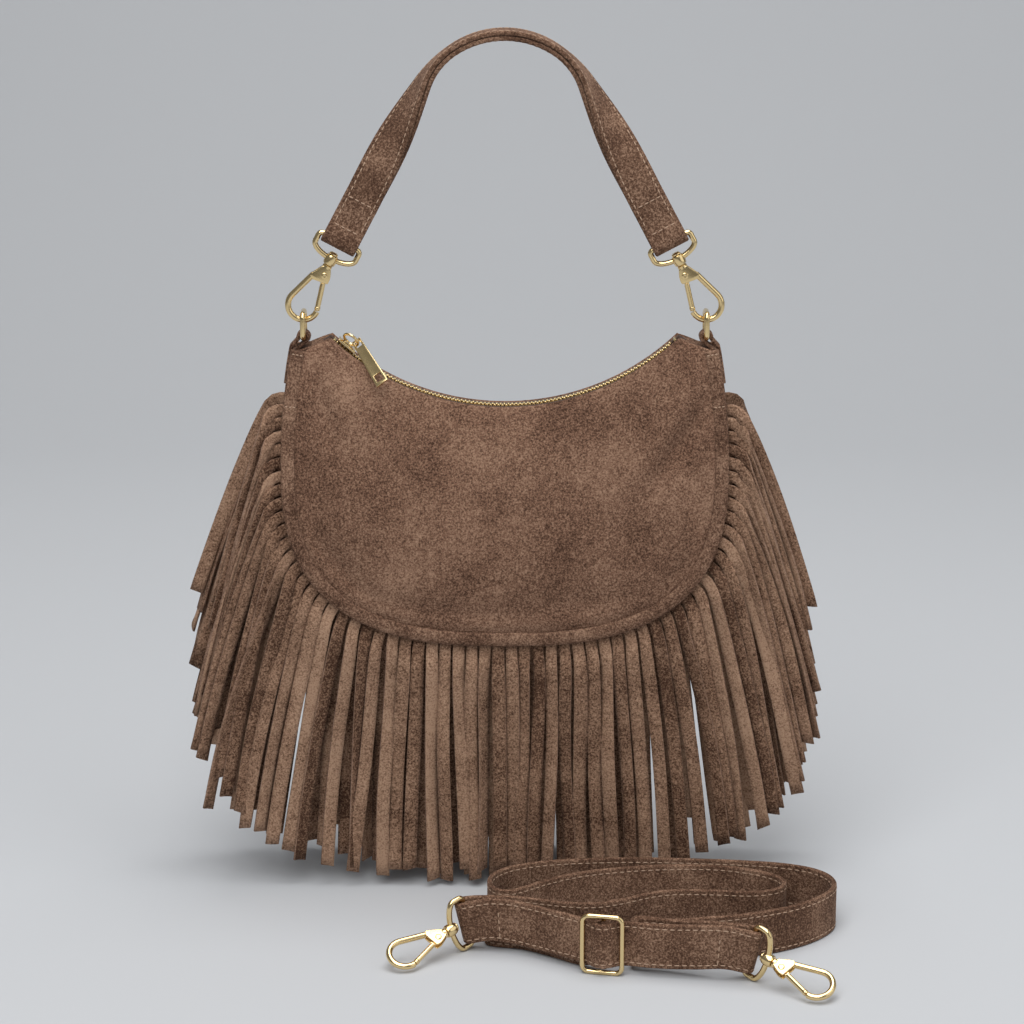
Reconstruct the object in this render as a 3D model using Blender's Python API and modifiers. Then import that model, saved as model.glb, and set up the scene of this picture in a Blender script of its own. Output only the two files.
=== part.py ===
"""Fringed suede shoulder bag with a clipped handle and a shoulder strap lying in front of it.

Units are metres, +Z is up, the bag's front faces -Y and its middle is at X = 0.
The hanging fringe tips and the strap stand on the plane Z = 0.
"""

import math

import bmesh
import bpy
from mathutils import Matrix, Vector

# Outline of the bag's body, read from the photograph at the bag's own scale
BODY_HALF_WIDTH = 0.119
WIDEST_HEIGHT = 0.235
SEAM_LOW = 0.1375
OUTLINE_POWER = 2.65
CORNER_HALF_WIDTH = 0.113
CORNER_HEIGHT = 0.296
ZIP_RADIUS = 0.132
ZIP_LOW = 0.2646
ZIP_HALF_ANGLE = math.radians(44)
GUSSET_HALF_TOP = 0.011
GUSSET_HALF_LOW = 0.028
LIP_SPACING = 0.014
PANEL_PUFF = 0.008
LINING_SLACK = 0.002
SEAM_CLEAR = 0.0011

# Sheet thicknesses and the gap that every touching pair keeps
SUEDE = 0.002
LINING_SHEET = 0.0008
TAPE_SHEET = 0.0008
FRINGE_SHEET = 0.0012
GAP = 0.0003

# Bound edge
BINDING_WIDTH = 0.0075
BINDING_DEPTH = 0.004

# Fringe
STRAND_PITCH = 0.00707
STRAND_SLIT = 0.00037
FRINGE_TOP_HEIGHT = 0.268
FRINGE_FAN = math.radians(22)
FRINGE_HEADER = 0.005
FRINGE_SPREAD = 0.0042
SIDE_TIP_HEIGHT = 0.160

# Zip
TEETH_DEPTH = 0.003
TEETH_PITCH = 0.007
TEETH_SPLIT = 0.0012
TEETH_REACH = 0.0023
SLIDER_ANGLE = math.radians(-40)
SLIDER_LENGTH = 0.011
SLIDER_WIDTH = 0.0084
SLIDER_PLATE = 0.0014
SLIDER_NECK = 0.0006
SLIDER_CLEAR = 0.0004
HOOP_RADIUS = 0.0043
HOOP_WIRE = 0.00075
PULL_LENGTH = 0.030
PULL_WIDTH_TOP = 0.0052
PULL_WIDTH_LOW = 0.0072
PULL_SHEET = 0.0013
PULL_RIM = 0.0012

# Rings and the tabs that hold them
RING_WIRE = 0.0015
RING_HALF = 0.0065
RING_CORNER = 0.0026
RING_X = 0.1069
RING_HEIGHT = 0.3075
TAB_WIDTH = 0.0072
TAB_LOW = 0.276

# Swivel hooks, in their own frame: p across, q up the hook's axis
HOOK_WIRE = 0.00165
BOW_RADIUS = 0.008
BOW_OFFSET = 0.0019
ARM_TOP = (0.0046, 0.0255)
PLATE_TOP = 0.0322
PLATE_THICKNESS = 0.0044
SLOT_WIDTH = 0.0026
PIN_P = -0.0010
PIN_Q = 0.0276
PIN_RADIUS = 0.0009
PIN_HEAD_RADIUS = 0.0017
GATE_RADIUS = 0.0014
GATE_SLIT = 0.0007
TONGUE_THICKNESS = 0.002
TONGUE_RADIUS = 0.0018
NECK_RADIUS = 0.0026
POST_RADIUS = 0.0012
HEAD_RADIUS = 0.0024
HEAD_THICKNESS = 0.0014
BARREL_RADIUS = 0.0034
BARREL_LENGTH = 0.0056
BARREL_LOW = 0.0336
EYE_WIRE = 0.0015
EYE_DEPTH = 0.0105
EYE_STRAIGHT = 0.0055
EYE_SIDE_CLEAR = 0.0006
SPRING_SHEET = 0.0003
LINK_GAP = 0.0008
HOOK_LEAN = math.radians(28)

# Handle
HANDLE_APEX = 0.4605
HANDLE_WIDTH = 0.0195
HANDLE_SHEET = 0.0024
HANDLE_TAIL = 0.026
HANDLE_TWIST_START = 0.022
HANDLE_TWIST_END = 0.118

# Shoulder strap, lying on its edge
STRAP_HEIGHT = 0.024
STRAP_SHEET = 0.0026
STRAP_TAIL = 0.020
LEFT_BAR = (-0.0195, -0.1170)
RIGHT_BAR = (0.1245, -0.1550)
ADJUSTER_AT = (0.0496, -0.1480)
ADJUSTER_TURN = math.radians(-12)
ADJUSTER_WIDTH = 0.0231
ADJUSTER_HEIGHT = 0.033
ADJUSTER_WIRE = 0.0013
ADJUSTER_CORNER = 0.0035
ADJUSTER_BAR = 0.0011
ADJUSTER_BAR_BACK = 0.0036
ADJUSTER_SLACK = 0.0009
FOLD_RUN_IN = (1.6, 1.1)
LEFT_HOOK_TURN = math.radians(217)
RIGHT_HOOK_TURN = math.radians(-37)
STRAP_HOOK_DIP = math.radians(15)
STRAP_HOOK_ROLL = math.radians(63)
STRAP_LEAN_RUN = 0.035
STRAP_FOLD_SWEEP = 190

# Mesh fineness
OUTLINE_STEP = 0.0095
PANEL_COLUMNS = 22
PANEL_ROWS = 6
ZIP_COLUMNS = 26
STRAND_STATIONS = (0.0, 0.004, 0.014)
ROUND_SIDES = 12
STRAP_TURN_STEP = math.radians(14)
STRAP_SHORT_STEP = 0.0009
STRAP_LONG_STEP = 0.0105

SUEDE_COLOUR = (0.195, 0.115, 0.081)
DARK_SUEDE_COLOUR = (0.150, 0.086, 0.060)
LINING_COLOUR = (0.060, 0.045, 0.038)
TAPE_COLOUR = (0.090, 0.055, 0.040)
METAL_COLOUR = (0.83, 0.62, 0.30)


def clear_scene():
    """Empty the scene and make the two collections."""
    for obj in list(bpy.data.objects):
        bpy.data.objects.remove(obj, do_unlink=True)
    made = {}
    for title in ("fringed_suede_bag", "cutters"):
        made[title] = bpy.data.collections.new(title)
        bpy.context.scene.collection.children.link(made[title])
    made["cutters"].hide_render = True
    return made["fringed_suede_bag"], made["cutters"]


BAG, CUTTERS = clear_scene()


def finish(name, colour, roughness, metallic=0.0):
    """A Principled material."""
    made = bpy.data.materials.new(name)
    made.use_nodes = True
    shader = made.node_tree.nodes["Principled BSDF"]
    shader.inputs["Base Color"].default_value = (*colour, 1.0)
    shader.inputs["Roughness"].default_value = roughness
    shader.inputs["Metallic"].default_value = metallic
    return made


def suede(name):
    return finish(name, SUEDE_COLOUR, 0.95)


def gold(name):
    return finish(name, METAL_COLOUR, 0.2, 1.0)


def smoothstep(value):
    """0 below 0, 1 above 1 and smooth between."""
    value = min(1.0, max(0.0, value))
    return value * value * (3 - 2 * value)


def as_object(name, mesh_or_bmesh, material, collection=BAG):
    """Link a mesh as the object of one sub-part."""
    mesh = mesh_or_bmesh
    if isinstance(mesh, bmesh.types.BMesh):
        mesh = bpy.data.meshes.new(name)
        bmesh.ops.recalc_face_normals(mesh_or_bmesh, faces=mesh_or_bmesh.faces)
        mesh_or_bmesh.to_mesh(mesh)
        mesh_or_bmesh.free()
    obj = bpy.data.objects.new(name, mesh)
    if material:
        mesh.materials.append(material)
    collection.objects.link(obj)
    return obj


def grid_mesh(rows, kept=None):
    """A bmesh grid moved onto rows of points. kept(i, j) says which cells stay."""
    count_v = len(rows)
    count_u = len(rows[0])
    bm = bmesh.new()
    bmesh.ops.create_grid(bm, x_segments=count_u - 1, y_segments=count_v - 1, size=1)
    bm.verts.ensure_lookup_table()
    cells = {}
    for vert in bm.verts:
        u = round((vert.co.x + 1) / 2 * (count_u - 1))
        v = round((vert.co.y + 1) / 2 * (count_v - 1))
        cells[vert] = (u, v)
    if kept:
        doomed = []
        for face in bm.faces:
            low_u = min(cells[vert][0] for vert in face.verts)
            low_v = min(cells[vert][1] for vert in face.verts)
            if not kept(low_u, low_v):
                doomed.append(face)
        bmesh.ops.delete(bm, geom=doomed, context="FACES")
    for vert in bm.verts:
        u, v = cells[vert]
        vert.co = rows[v][u]
    return bm


def sheet(name, rows, thickness, material, kept=None):
    """A sheet of even thickness through rows of points."""
    obj = as_object(name, grid_mesh(rows, kept), material)
    solid = obj.modifiers.new("thickness", "SOLIDIFY")
    solid.thickness = thickness
    solid.offset = 0.0
    return obj


def ribbon(name, stations, width, thickness, material):
    """A flat band: each station is (point, direction across its width)."""
    rows = []
    for side in (-0.5, 0.5):
        rows.append([point + across * (side * width) for point, across in stations])
    return sheet(name, rows, thickness, material)


def bar_along(name, frames, section, material):
    """A closed bar: a section of (a, b) pairs carried along frames of (point, a axis, b axis)."""
    bm = bmesh.new()
    rings = []
    for point, axis_a, axis_b in frames:
        rings.append([bm.verts.new(point + axis_a * a + axis_b * b) for a, b in section])
    for ring in (rings[0], rings[-1]):
        bm.faces.new(ring)
    for before, after in zip(rings, rings[1:]):
        edges = []
        for ring in (before, after):
            for first, second in zip(ring, ring[1:] + ring[:1]):
                edge = bm.edges.get((first, second))
                edges.append(edge if edge else bm.edges.new((first, second)))
        bmesh.ops.bridge_loops(bm, edges=edges)
    return as_object(name, bm, material)


def wire(name, points, radius, material, cyclic=False, sides=2, collection=BAG):
    """A round wire as a curve object."""
    curve = bpy.data.curves.new(name, "CURVE")
    curve.dimensions = "3D"
    curve.bevel_depth = radius
    curve.bevel_resolution = sides
    curve.use_fill_caps = not cyclic
    spline = curve.splines.new("POLY")
    spline.points.add(len(points) - 1)
    for slot, point in zip(spline.points, points):
        slot.co = (*point, 1.0)
    spline.use_cyclic_u = cyclic
    obj = bpy.data.objects.new(name, curve)
    if material:
        curve.materials.append(material)
    collection.objects.link(obj)
    return obj


def wire_mesh(name, points, radius, material, cyclic=False, collection=BAG):
    """A round wire as a closed mesh, ready to be cut or joined."""
    obj = wire(name, points, radius, None, cyclic, collection=collection)
    graph = bpy.context.evaluated_depsgraph_get()
    mesh = bpy.data.meshes.new_from_object(obj.evaluated_get(graph))
    bpy.data.objects.remove(obj, do_unlink=True)
    bm = bmesh.new()
    bm.from_mesh(mesh)
    bmesh.ops.remove_doubles(bm, verts=bm.verts, dist=1e-6)
    return as_object(name, bm, material, collection)


def plate(name, loops, thickness, material, collection=BAG):
    """A flat plate in its own XY plane, from an outline and the outlines of its holes."""
    curve = bpy.data.curves.new(name, "CURVE")
    curve.dimensions = "2D"
    curve.fill_mode = "BOTH"
    curve.extrude = thickness / 2
    for loop in loops:
        spline = curve.splines.new("POLY")
        spline.points.add(len(loop) - 1)
        for slot, (x, y) in zip(spline.points, loop):
            slot.co = (x, y, 0.0, 1.0)
        spline.use_cyclic_u = True
    obj = bpy.data.objects.new(name, curve)
    collection.objects.link(obj)
    graph = bpy.context.evaluated_depsgraph_get()
    mesh = bpy.data.meshes.new_from_object(obj.evaluated_get(graph))
    bpy.data.objects.remove(obj, do_unlink=True)
    bm = bmesh.new()
    bm.from_mesh(mesh)
    bmesh.ops.remove_doubles(bm, verts=bm.verts, dist=1e-6)
    return as_object(name, bm, material, collection)


def turned(name, profile, material, collection=BAG):
    """A turned piece about its own Z axis, from (radius, height) pairs."""
    bm = bmesh.new()
    verts = [bm.verts.new((radius, 0, height)) for radius, height in profile]
    edges = [bm.edges.new(pair) for pair in zip(verts, verts[1:])]
    bmesh.ops.spin(
        bm,
        geom=verts + edges,
        cent=(0, 0, 0),
        axis=(0, 0, 1),
        angle=math.tau,
        steps=ROUND_SIDES,
        use_merge=True,
    )
    bmesh.ops.remove_doubles(bm, verts=bm.verts, dist=1e-6)
    return as_object(name, bm, material, collection)


def box(name, size, centre, material, collection=BAG):
    """A block of a given size about a centre."""
    bm = bmesh.new()
    bmesh.ops.create_cube(bm, size=1.0)
    bmesh.ops.scale(bm, vec=size, verts=bm.verts)
    bmesh.ops.translate(bm, vec=centre, verts=bm.verts)
    return as_object(name, bm, material, collection)


def combine(target, other, operation):
    """Join or cut a solid with a helper solid kept in the cutters' collection."""
    change = target.modifiers.new(other.name, "BOOLEAN")
    change.operation = operation
    change.object = other
    change.solver = "EXACT"
    other.hide_render = True
    other.display_type = "WIRE"


# Outline of the seam: a half from the bottom middle to the upper corner
def half_outline():
    """Dense points (x, z) of the right half, from the bottom middle to the corner."""
    points = []
    reach = WIDEST_HEIGHT - SEAM_LOW
    for step in range(91):
        turn = math.radians(step)
        x = BODY_HALF_WIDTH * math.sin(turn) ** (2 / OUTLINE_POWER)
        z = WIDEST_HEIGHT - reach * max(0.0, math.cos(turn)) ** (2 / OUTLINE_POWER)
        points.append((x, z))
    for step in range(1, 31):
        part = step / 30
        z = WIDEST_HEIGHT + (CORNER_HEIGHT - WIDEST_HEIGHT) * part
        x = BODY_HALF_WIDTH - (BODY_HALF_WIDTH - CORNER_HALF_WIDTH) * part * part
        points.append((x, z))
    lengths = [0.0]
    for first, second in zip(points, points[1:]):
        lengths.append(lengths[-1] + math.dist(first, second))
    return points, lengths


HALF_POINTS, HALF_LENGTHS = half_outline()
SEAM_HALF_LENGTH = HALF_LENGTHS[-1]


def interpolate(lengths, points, length):
    """The point at a length along a measured polyline."""
    length = min(max(length, 0.0), lengths[-1])
    low = 0
    high = len(lengths) - 1
    while high - low > 1:
        middle = (low + high) // 2
        if lengths[middle] <= length:
            low = middle
        else:
            high = middle
    part = (length - lengths[low]) / (lengths[high] - lengths[low])
    return tuple(a + (b - a) * part for a, b in zip(points[low], points[high]))


def seam(length):
    """Seam point, tangent and outward normal, all in the XZ plane. length is negative on the left."""
    side = -1 if length < 0 else 1
    size = abs(length)
    delta = 0.002
    x, z = interpolate(HALF_LENGTHS, HALF_POINTS, size)
    before = interpolate(HALF_LENGTHS, HALF_POINTS, size - delta)
    after = interpolate(HALF_LENGTHS, HALF_POINTS, size + delta)
    if size < delta:
        before = (-after[0], after[1])
    tangent = Vector((after[0] - before[0], 0, after[1] - before[1])).normalized()
    normal = Vector((tangent.z, 0, -tangent.x))
    if side < 0:
        tangent = Vector((tangent.x, 0, -tangent.z))
        normal = Vector((-normal.x, 0, normal.z))
    return Vector((side * x, 0, z)), tangent, normal


def gusset_half(z):
    """Half the depth of the bag at a height on the seam."""
    part = (CORNER_HEIGHT - z) / (CORNER_HEIGHT - SEAM_LOW)
    rise = math.sin(math.pi / 2 * min(1.0, max(0.0, part)))
    return GUSSET_HALF_TOP + (GUSSET_HALF_LOW - GUSSET_HALF_TOP) * rise


def seam_lengths(half_run, step):
    """Even stations over both sides of the seam."""
    count = max(2, round(2 * half_run / step))
    return [-half_run + 2 * half_run * index / count for index in range(count + 1)]


# Front-to-back stack at the seam, measured inward from the middle of the binding
HEADER_FRONT = BINDING_DEPTH / 2 + GAP + FRINGE_SHEET / 2
HEADER_UNDER = HEADER_FRONT + FRINGE_SHEET + GAP
GUSSET_FRONT_EDGE = HEADER_UNDER + FRINGE_SHEET / 2 + GAP
GUSSET_BACK_EDGE = HEADER_FRONT + FRINGE_SHEET / 2 + GAP
PANEL_INSET = BINDING_WIDTH + SEAM_CLEAR
ZIP_CENTRE_Z = ZIP_LOW + ZIP_RADIUS


def on_arc(angle, radius, y):
    """A point at an angle from straight down about the zip's centre."""
    return Vector((math.sin(angle) * radius, y, ZIP_CENTRE_Z - math.cos(angle) * radius))


def panel_rows(side, inward, columns, row_count, inset, puff):
    """Rows of points from the zip's lip to the seam. inward moves the sheet toward the middle."""
    rows = []
    for row in range(row_count + 1):
        v = row / row_count
        points = []
        for column in range(columns + 1):
            u = column / columns
            angle = ZIP_HALF_ANGLE * (2 * u - 1)
            lip = on_arc(angle, ZIP_RADIUS + SUEDE / 2, 0)
            length = (2 * u - 1) * SEAM_HALF_LENGTH
            low, _, normal = seam(length)
            low_depth = gusset_half(low.z)
            low = low - normal * inset
            point = lip.lerp(low, v)
            depth = LIP_SPACING / 2 + (low_depth - LIP_SPACING / 2) * v
            bulge = math.sin(math.pi * v) ** 0.8 * max(0.0, math.sin(math.pi * u)) ** 0.5
            depth += puff * bulge - inward
            point.y = side * depth
            points.append(point)
        rows.append(points)
    return rows


def build_panels():
    for name, side in (("front_panel", -1), ("back_panel", 1)):
        rows = panel_rows(side, 0.0, PANEL_COLUMNS, PANEL_ROWS, PANEL_INSET, PANEL_PUFF)
        sheet(name, rows, SUEDE, suede(name))


def build_gusset():
    top = SEAM_HALF_LENGTH - 0.004
    rows = [[], [], []]
    for length in seam_lengths(top, OUTLINE_STEP):
        point, _, normal = seam(length)
        depth = gusset_half(point.z)
        base = point - normal * (SUEDE / 2)
        front = -depth + GUSSET_FRONT_EDGE
        back = depth - GUSSET_BACK_EDGE
        rows[0].append(base + Vector((0, front, 0)))
        rows[1].append(base + Vector((0, (front + back) / 2, 0)))
        rows[2].append(base + Vector((0, back, 0)))
    sheet("gusset", rows, SUEDE, suede("gusset"))


def build_lining():
    """One folded sheet: down behind the front panel, across the bottom and up inside the back."""
    inward = SUEDE / 2 + 2 * GAP + LINING_SHEET / 2
    columns = 14
    rows_down = 4
    seam_inset = PANEL_INSET + 2 * GAP
    puff = PANEL_PUFF - LINING_SLACK
    front = panel_rows(-1, inward, columns, rows_down, seam_inset, puff)
    back = panel_rows(1, inward, columns, rows_down, seam_inset, puff)
    material = finish("lining", LINING_COLOUR, 0.8)
    sheet("lining", front + back[::-1], LINING_SHEET, material)


def build_bindings():
    half_w = BINDING_WIDTH / 2
    half_d = BINDING_DEPTH / 2
    corner = 0.55
    section = [
        (-half_w, -half_d * corner),
        (-half_w * corner, -half_d),
        (half_w * corner, -half_d),
        (half_w, -half_d * corner),
        (half_w, half_d),
        (-half_w, half_d),
    ]
    for name, side in (("binding_front", -1), ("binding_back", 1)):
        frames = []
        for length in seam_lengths(SEAM_HALF_LENGTH, OUTLINE_STEP):
            point, _, normal = seam(length)
            centre = point - normal * half_w
            centre.y = side * gusset_half(point.z)
            frames.append((centre, normal, Vector((0, -side, 0))))
        turned_section = [(a, b) for a, b in section]
        bar_along(name, frames, turned_section, suede(name))


def fringe_half_run():
    """Length of the seam from the bottom middle up to the fringe's top."""
    for point, length in zip(HALF_POINTS, HALF_LENGTHS):
        if point[1] >= FRINGE_TOP_HEIGHT:
            return length
    return SEAM_HALF_LENGTH


def strand_path(length, side, header, spread, edge):
    """Points down one edge of a strand (edge -0.5 or 0.5), from the header to the tip."""
    width = STRAND_PITCH - STRAND_SLIT
    part = abs(length) / fringe_half_run()
    sign = -1 if length < 0 else 1
    tip_height = SIDE_TIP_HEIGHT * max(0.0, (part - 0.12) / 0.88) ** 2.4
    fan = FRINGE_FAN * smoothstep((part - 0.1) / 0.6)
    fall = Vector((math.sin(fan) * sign, 0, -math.cos(fan)))
    root, tangent, normal = seam(length)
    edge_root, _, edge_normal = seam(length + edge * width)
    depth = side * (gusset_half(edge_root.z) - header)
    first = edge_root + Vector((0, depth, 0))
    points = [first - edge_normal * FRINGE_HEADER, first]
    headings = (normal.lerp(fall, 0.12).normalized(), normal.lerp(fall, 0.6).normalized(), fall)
    shingle = FRINGE_SHEET + 2 * GAP
    centre = root.copy()
    for index, heading in enumerate(headings):
        if index + 1 < len(STRAND_STATIONS):
            stride = STRAND_STATIONS[index + 1] - STRAND_STATIONS[index]
        else:
            stride = (centre.z - tip_height) / -heading.z
        centre = centre + heading * stride
        onward = headings[min(index + 1, len(headings) - 1)]
        flat = onward.cross(Vector((0, 1, 0)))
        if flat.dot(tangent) < 0:
            flat = -flat
        offset = max(STRAND_PITCH * abs(tangent.dot(flat)), shingle)
        turn = math.asin(shingle / offset)
        across = flat * math.cos(turn) + Vector((0, sign * side, 0)) * math.sin(turn)
        drift = depth + side * spread * (0.5, 0.9, 1.0)[index]
        points.append(centre + Vector((0, drift, 0)) + across * (edge * width))
    return points


def build_fringe(name, side, header, spread, shift):
    """A slit strip: a header in the seam and a row of strands below it, all one piece of suede."""
    run = fringe_half_run()
    count = round(2 * run / STRAND_PITCH) - (1 if shift else 0)
    first = -(count - 1) / 2
    columns = []
    for index in range(count):
        length = (first + index) * STRAND_PITCH
        for edge in (-0.5, 0.5):
            columns.append(strand_path(length, side, header, spread, edge))
    rows = [list(row) for row in zip(*columns)]

    def kept(column, row):
        return row == 0 or column % 2 == 0

    sheet(name, rows, FRINGE_SHEET, suede(name), kept)


def build_fringes():
    build_fringe("fringe_front", -1, HEADER_FRONT, FRINGE_SPREAD, False)
    build_fringe("fringe_under", -1, HEADER_UNDER, -FRINGE_SPREAD, True)
    build_fringe("fringe_back", 1, HEADER_FRONT, FRINGE_SPREAD, False)


# Zip
TEETH_TOP = ZIP_RADIUS - 0.0001
TEETH_LOW = TEETH_TOP + TEETH_DEPTH
TEETH_END_ANGLE = ZIP_HALF_ANGLE - math.radians(1.5)
TAPE_INNER = TEETH_SPLIT / 2 + TEETH_REACH + GAP
TAPE_OUTER = LIP_SPACING / 2 - SUEDE / 2 - LINING_SHEET - 3 * GAP


def build_zip_tapes():
    radius = (TEETH_TOP + TEETH_LOW) / 2
    for name, side in (("zip_tape_front", -1), ("zip_tape_back", 1)):
        rows = []
        for y in (TAPE_INNER, TAPE_OUTER):
            row = []
            for column in range(ZIP_COLUMNS + 1):
                angle = ZIP_HALF_ANGLE * (2 * column / ZIP_COLUMNS - 1)
                row.append(on_arc(angle, radius, side * y))
            rows.append(row)
        sheet(name, rows, TAPE_SHEET, finish(name, TAPE_COLOUR, 0.9))


def build_zip_teeth():
    """Each comb is a cord along the tape with teeth standing from it toward the middle."""
    radius = (TEETH_TOP + TEETH_LOW) / 2
    teeth = round(2 * TEETH_END_ANGLE * radius / TEETH_PITCH)
    columns = 2 * teeth
    cord = TEETH_SPLIT / 2 + TEETH_REACH
    levels = (cord, TEETH_SPLIT / 2 + TEETH_REACH * 0.5, TEETH_SPLIT / 2)
    for name, side in (("zip_teeth_front", -1), ("zip_teeth_back", 1)):
        rows = []
        for y in levels:
            row = []
            for column in range(columns + 1):
                angle = TEETH_END_ANGLE * (2 * column / columns - 1)
                row.append(on_arc(angle, radius, side * y))
            rows.append(row)
        start = 0 if side < 0 else 1

        def kept(column, row, start=start):
            return row == 0 or column % 2 == start

        sheet(name, rows, TEETH_DEPTH, gold(name), kept)


def build_zip_stops():
    middle = (TEETH_TOP + TEETH_LOW) / 2
    size = (0.0014, 2 * (TEETH_SPLIT / 2 + TEETH_REACH), TEETH_DEPTH)
    angle = TEETH_END_ANGLE + (size[0] / 2 + GAP) / middle
    for name, side in (("zip_stop_left", -1), ("zip_stop_right", 1)):
        stop = box(name, size, (0, 0, 0), gold(name))
        place = Matrix.Translation(on_arc(side * angle, middle, 0))
        turn = Matrix.Rotation(-side * angle, 4, "Y")
        stop.matrix_world = place @ turn


HOOP_NORMAL = Vector((0.50, 0.62, 0.60)).normalized()
PULL_AIM = Vector((16.0, -19.0, -21.5)).normalized()


def hoop_frame():
    """Centre of the slider's hoop, the point where the pull hangs and the wire's direction there."""
    inward = Vector((-math.sin(SLIDER_ANGLE), 0, math.cos(SLIDER_ANGLE)))
    across = HOOP_NORMAL.dot(inward)
    reach = HOOP_RADIUS * math.sqrt(1 - across * across) + HOOP_WIRE
    plate_top = TEETH_TOP - SLIDER_CLEAR - SLIDER_PLATE
    sunk = SLIDER_PLATE / 3
    centre = on_arc(SLIDER_ANGLE, plate_top - reach + sunk, 0)
    outward = (PULL_AIM - HOOP_NORMAL * PULL_AIM.dot(HOOP_NORMAL)).normalized()
    hang = centre + outward * HOOP_RADIUS
    return centre, outward, hang, HOOP_NORMAL.cross(outward)


def build_slider():
    centre, outward, _, along = hoop_frame()
    name = "zip_slider"
    middle = (TEETH_TOP + TEETH_LOW) / 2
    frame = Matrix.Translation(on_arc(SLIDER_ANGLE, middle, 0)) @ Matrix.Rotation(-SLIDER_ANGLE, 4, "Y")
    rise = TEETH_DEPTH / 2 + SLIDER_CLEAR + SLIDER_PLATE / 2
    size = (SLIDER_LENGTH, SLIDER_WIDTH, SLIDER_PLATE)
    body = box(name, size, (0, 0, rise), gold(name))
    low = box("slider_low_plate", size, (0, 0, -rise), None, CUTTERS)
    neck_size = (SLIDER_LENGTH * 0.4, SLIDER_NECK, 2 * rise)
    neck = box("slider_neck", neck_size, (SLIDER_LENGTH * 0.2, 0, 0), None, CUTTERS)
    ring = []
    for step in range(20):
        turn = math.tau * step / 20
        ring.append(centre + outward * (HOOP_RADIUS * math.cos(turn)) + along * (HOOP_RADIUS * math.sin(turn)))
    hoop = wire_mesh("slider_hoop", ring, HOOP_WIRE, None, True, CUTTERS)
    for piece in (body, low, neck):
        piece.matrix_world = frame
    for piece in (low, neck, hoop):
        combine(body, piece, "UNION")


def build_pull():
    """Pull tab: a plate with a slot round the hoop and a window near its free end."""
    _, _, hang, _ = hoop_frame()
    slot_top = HOOP_WIRE + GAP
    top = slot_top + PULL_RIM
    slot_low = -0.0023
    slot_half = PULL_WIDTH_TOP / 2 - 0.001
    low = top - PULL_LENGTH
    window_half = PULL_WIDTH_LOW / 2 - 0.0014
    window_low = low + 0.0018
    window_top = window_low + 0.0046
    outline = [
        (-PULL_WIDTH_TOP / 2, top),
        (PULL_WIDTH_TOP / 2, top),
        (PULL_WIDTH_LOW / 2, low),
        (-PULL_WIDTH_LOW / 2, low),
    ]
    slot = [(-slot_half, slot_top), (slot_half, slot_top), (slot_half, slot_low), (-slot_half, slot_low)]
    window = [
        (-window_half, window_top),
        (window_half, window_top),
        (window_half, window_low),
        (-window_half, window_low),
    ]
    pull = plate("zip_pull", [outline, slot, window], PULL_SHEET, gold("zip_pull"))
    up = -PULL_AIM
    across = Vector((-up.z, 0, up.x)).normalized()
    facing = across.cross(up)
    frame = Matrix((across, up, facing)).transposed().to_4x4()
    pull.matrix_world = Matrix.Translation(hang) @ frame


# Rings and tabs
def rounded_loop(half_a, half_b, corner, steps=4):
    """Corner-rounded rectangle as (a, b) pairs."""
    points = []
    for index, (sign_a, sign_b) in enumerate(((1, 1), (-1, 1), (-1, -1), (1, -1))):
        for step in range(steps + 1):
            turn = math.pi / 2 * (index + step / steps)
            a = sign_a * (half_a - corner) + corner * math.cos(turn)
            b = sign_b * (half_b - corner) + corner * math.sin(turn)
            points.append((a, b))
    return points


def ring_place(side):
    return Vector((side * RING_X, 0, RING_HEIGHT))


def build_rings():
    for name, side in (("ring_left", -1), ("ring_right", 1)):
        centre = ring_place(side)
        loop = rounded_loop(RING_HALF, RING_HALF, RING_CORNER)
        points = [centre + Vector((0, y, z)) for y, z in loop]
        wire(name, points, RING_WIRE, gold(name), True)


def build_tabs():
    """A strip folded up through each ring, with one leg outside the gusset and one inside."""
    bend = RING_WIRE + GAP + SUEDE / 2
    for name, side in (("tab_left", -1), ("tab_right", 1)):
        bar = ring_place(side) - Vector((0, 0, RING_HALF))
        outer = []
        inner = []
        for step in range(3):
            z = TAB_LOW + step * 0.008
            length = 0.0
            for point, measured in zip(HALF_POINTS, HALF_LENGTHS):
                if point[1] <= z:
                    length = measured
            point, _, normal = seam(side * length)
            outer.append(point + normal * (SUEDE / 2 + GAP))
            inner.append(point - normal * (1.5 * SUEDE + GAP))
        arch = []
        for step in range(9):
            turn = math.radians(195 - 210 * step / 8)
            arch.append(bar + Vector((side * -math.cos(turn) * bend, 0, math.sin(turn) * bend)))
        path = outer + arch + inner[::-1]
        across = Vector((0, 1, 0))
        ribbon(name, [(point, across) for point in path], TAB_WIDTH, SUEDE, suede(name))


# Swivel hooks: a frame's columns are p, thickness and q, and its origin is q = 0
def hook_shapes(prefix, eye_frame, bar_width, roll=0.0):
    """Eye, hook, gate, pin and spring of one swivel hook. roll turns the hook in its eye's barrel."""
    build_hook_eye(prefix, eye_frame, bar_width)
    frame = eye_frame @ Matrix.Rotation(roll, 4, "Z")
    build_hook_body(prefix, frame)
    build_hook_gate(prefix, frame)
    build_hook_pin(prefix, frame)
    spring_size = (SPRING_SHEET, SLOT_WIDTH * 0.5, 0.0045)
    spring_at = (SLOT_INNER - GAP - SPRING_SHEET / 2, 0, PIN_Q - 0.0002)
    spring = box(f"{prefix}_gate_spring", spring_size, spring_at, gold(f"{prefix}_gate_spring"))
    spring.matrix_world = frame


BARREL_TOP = BARREL_LOW + BARREL_LENGTH
EYE_ROUND = BARREL_LOW + BARREL_LENGTH * 0.6
EYE_BAR = EYE_ROUND + EYE_DEPTH
SLOT_INNER = 0.0026
FACING = Matrix.Rotation(math.radians(90), 4, "X")


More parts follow.
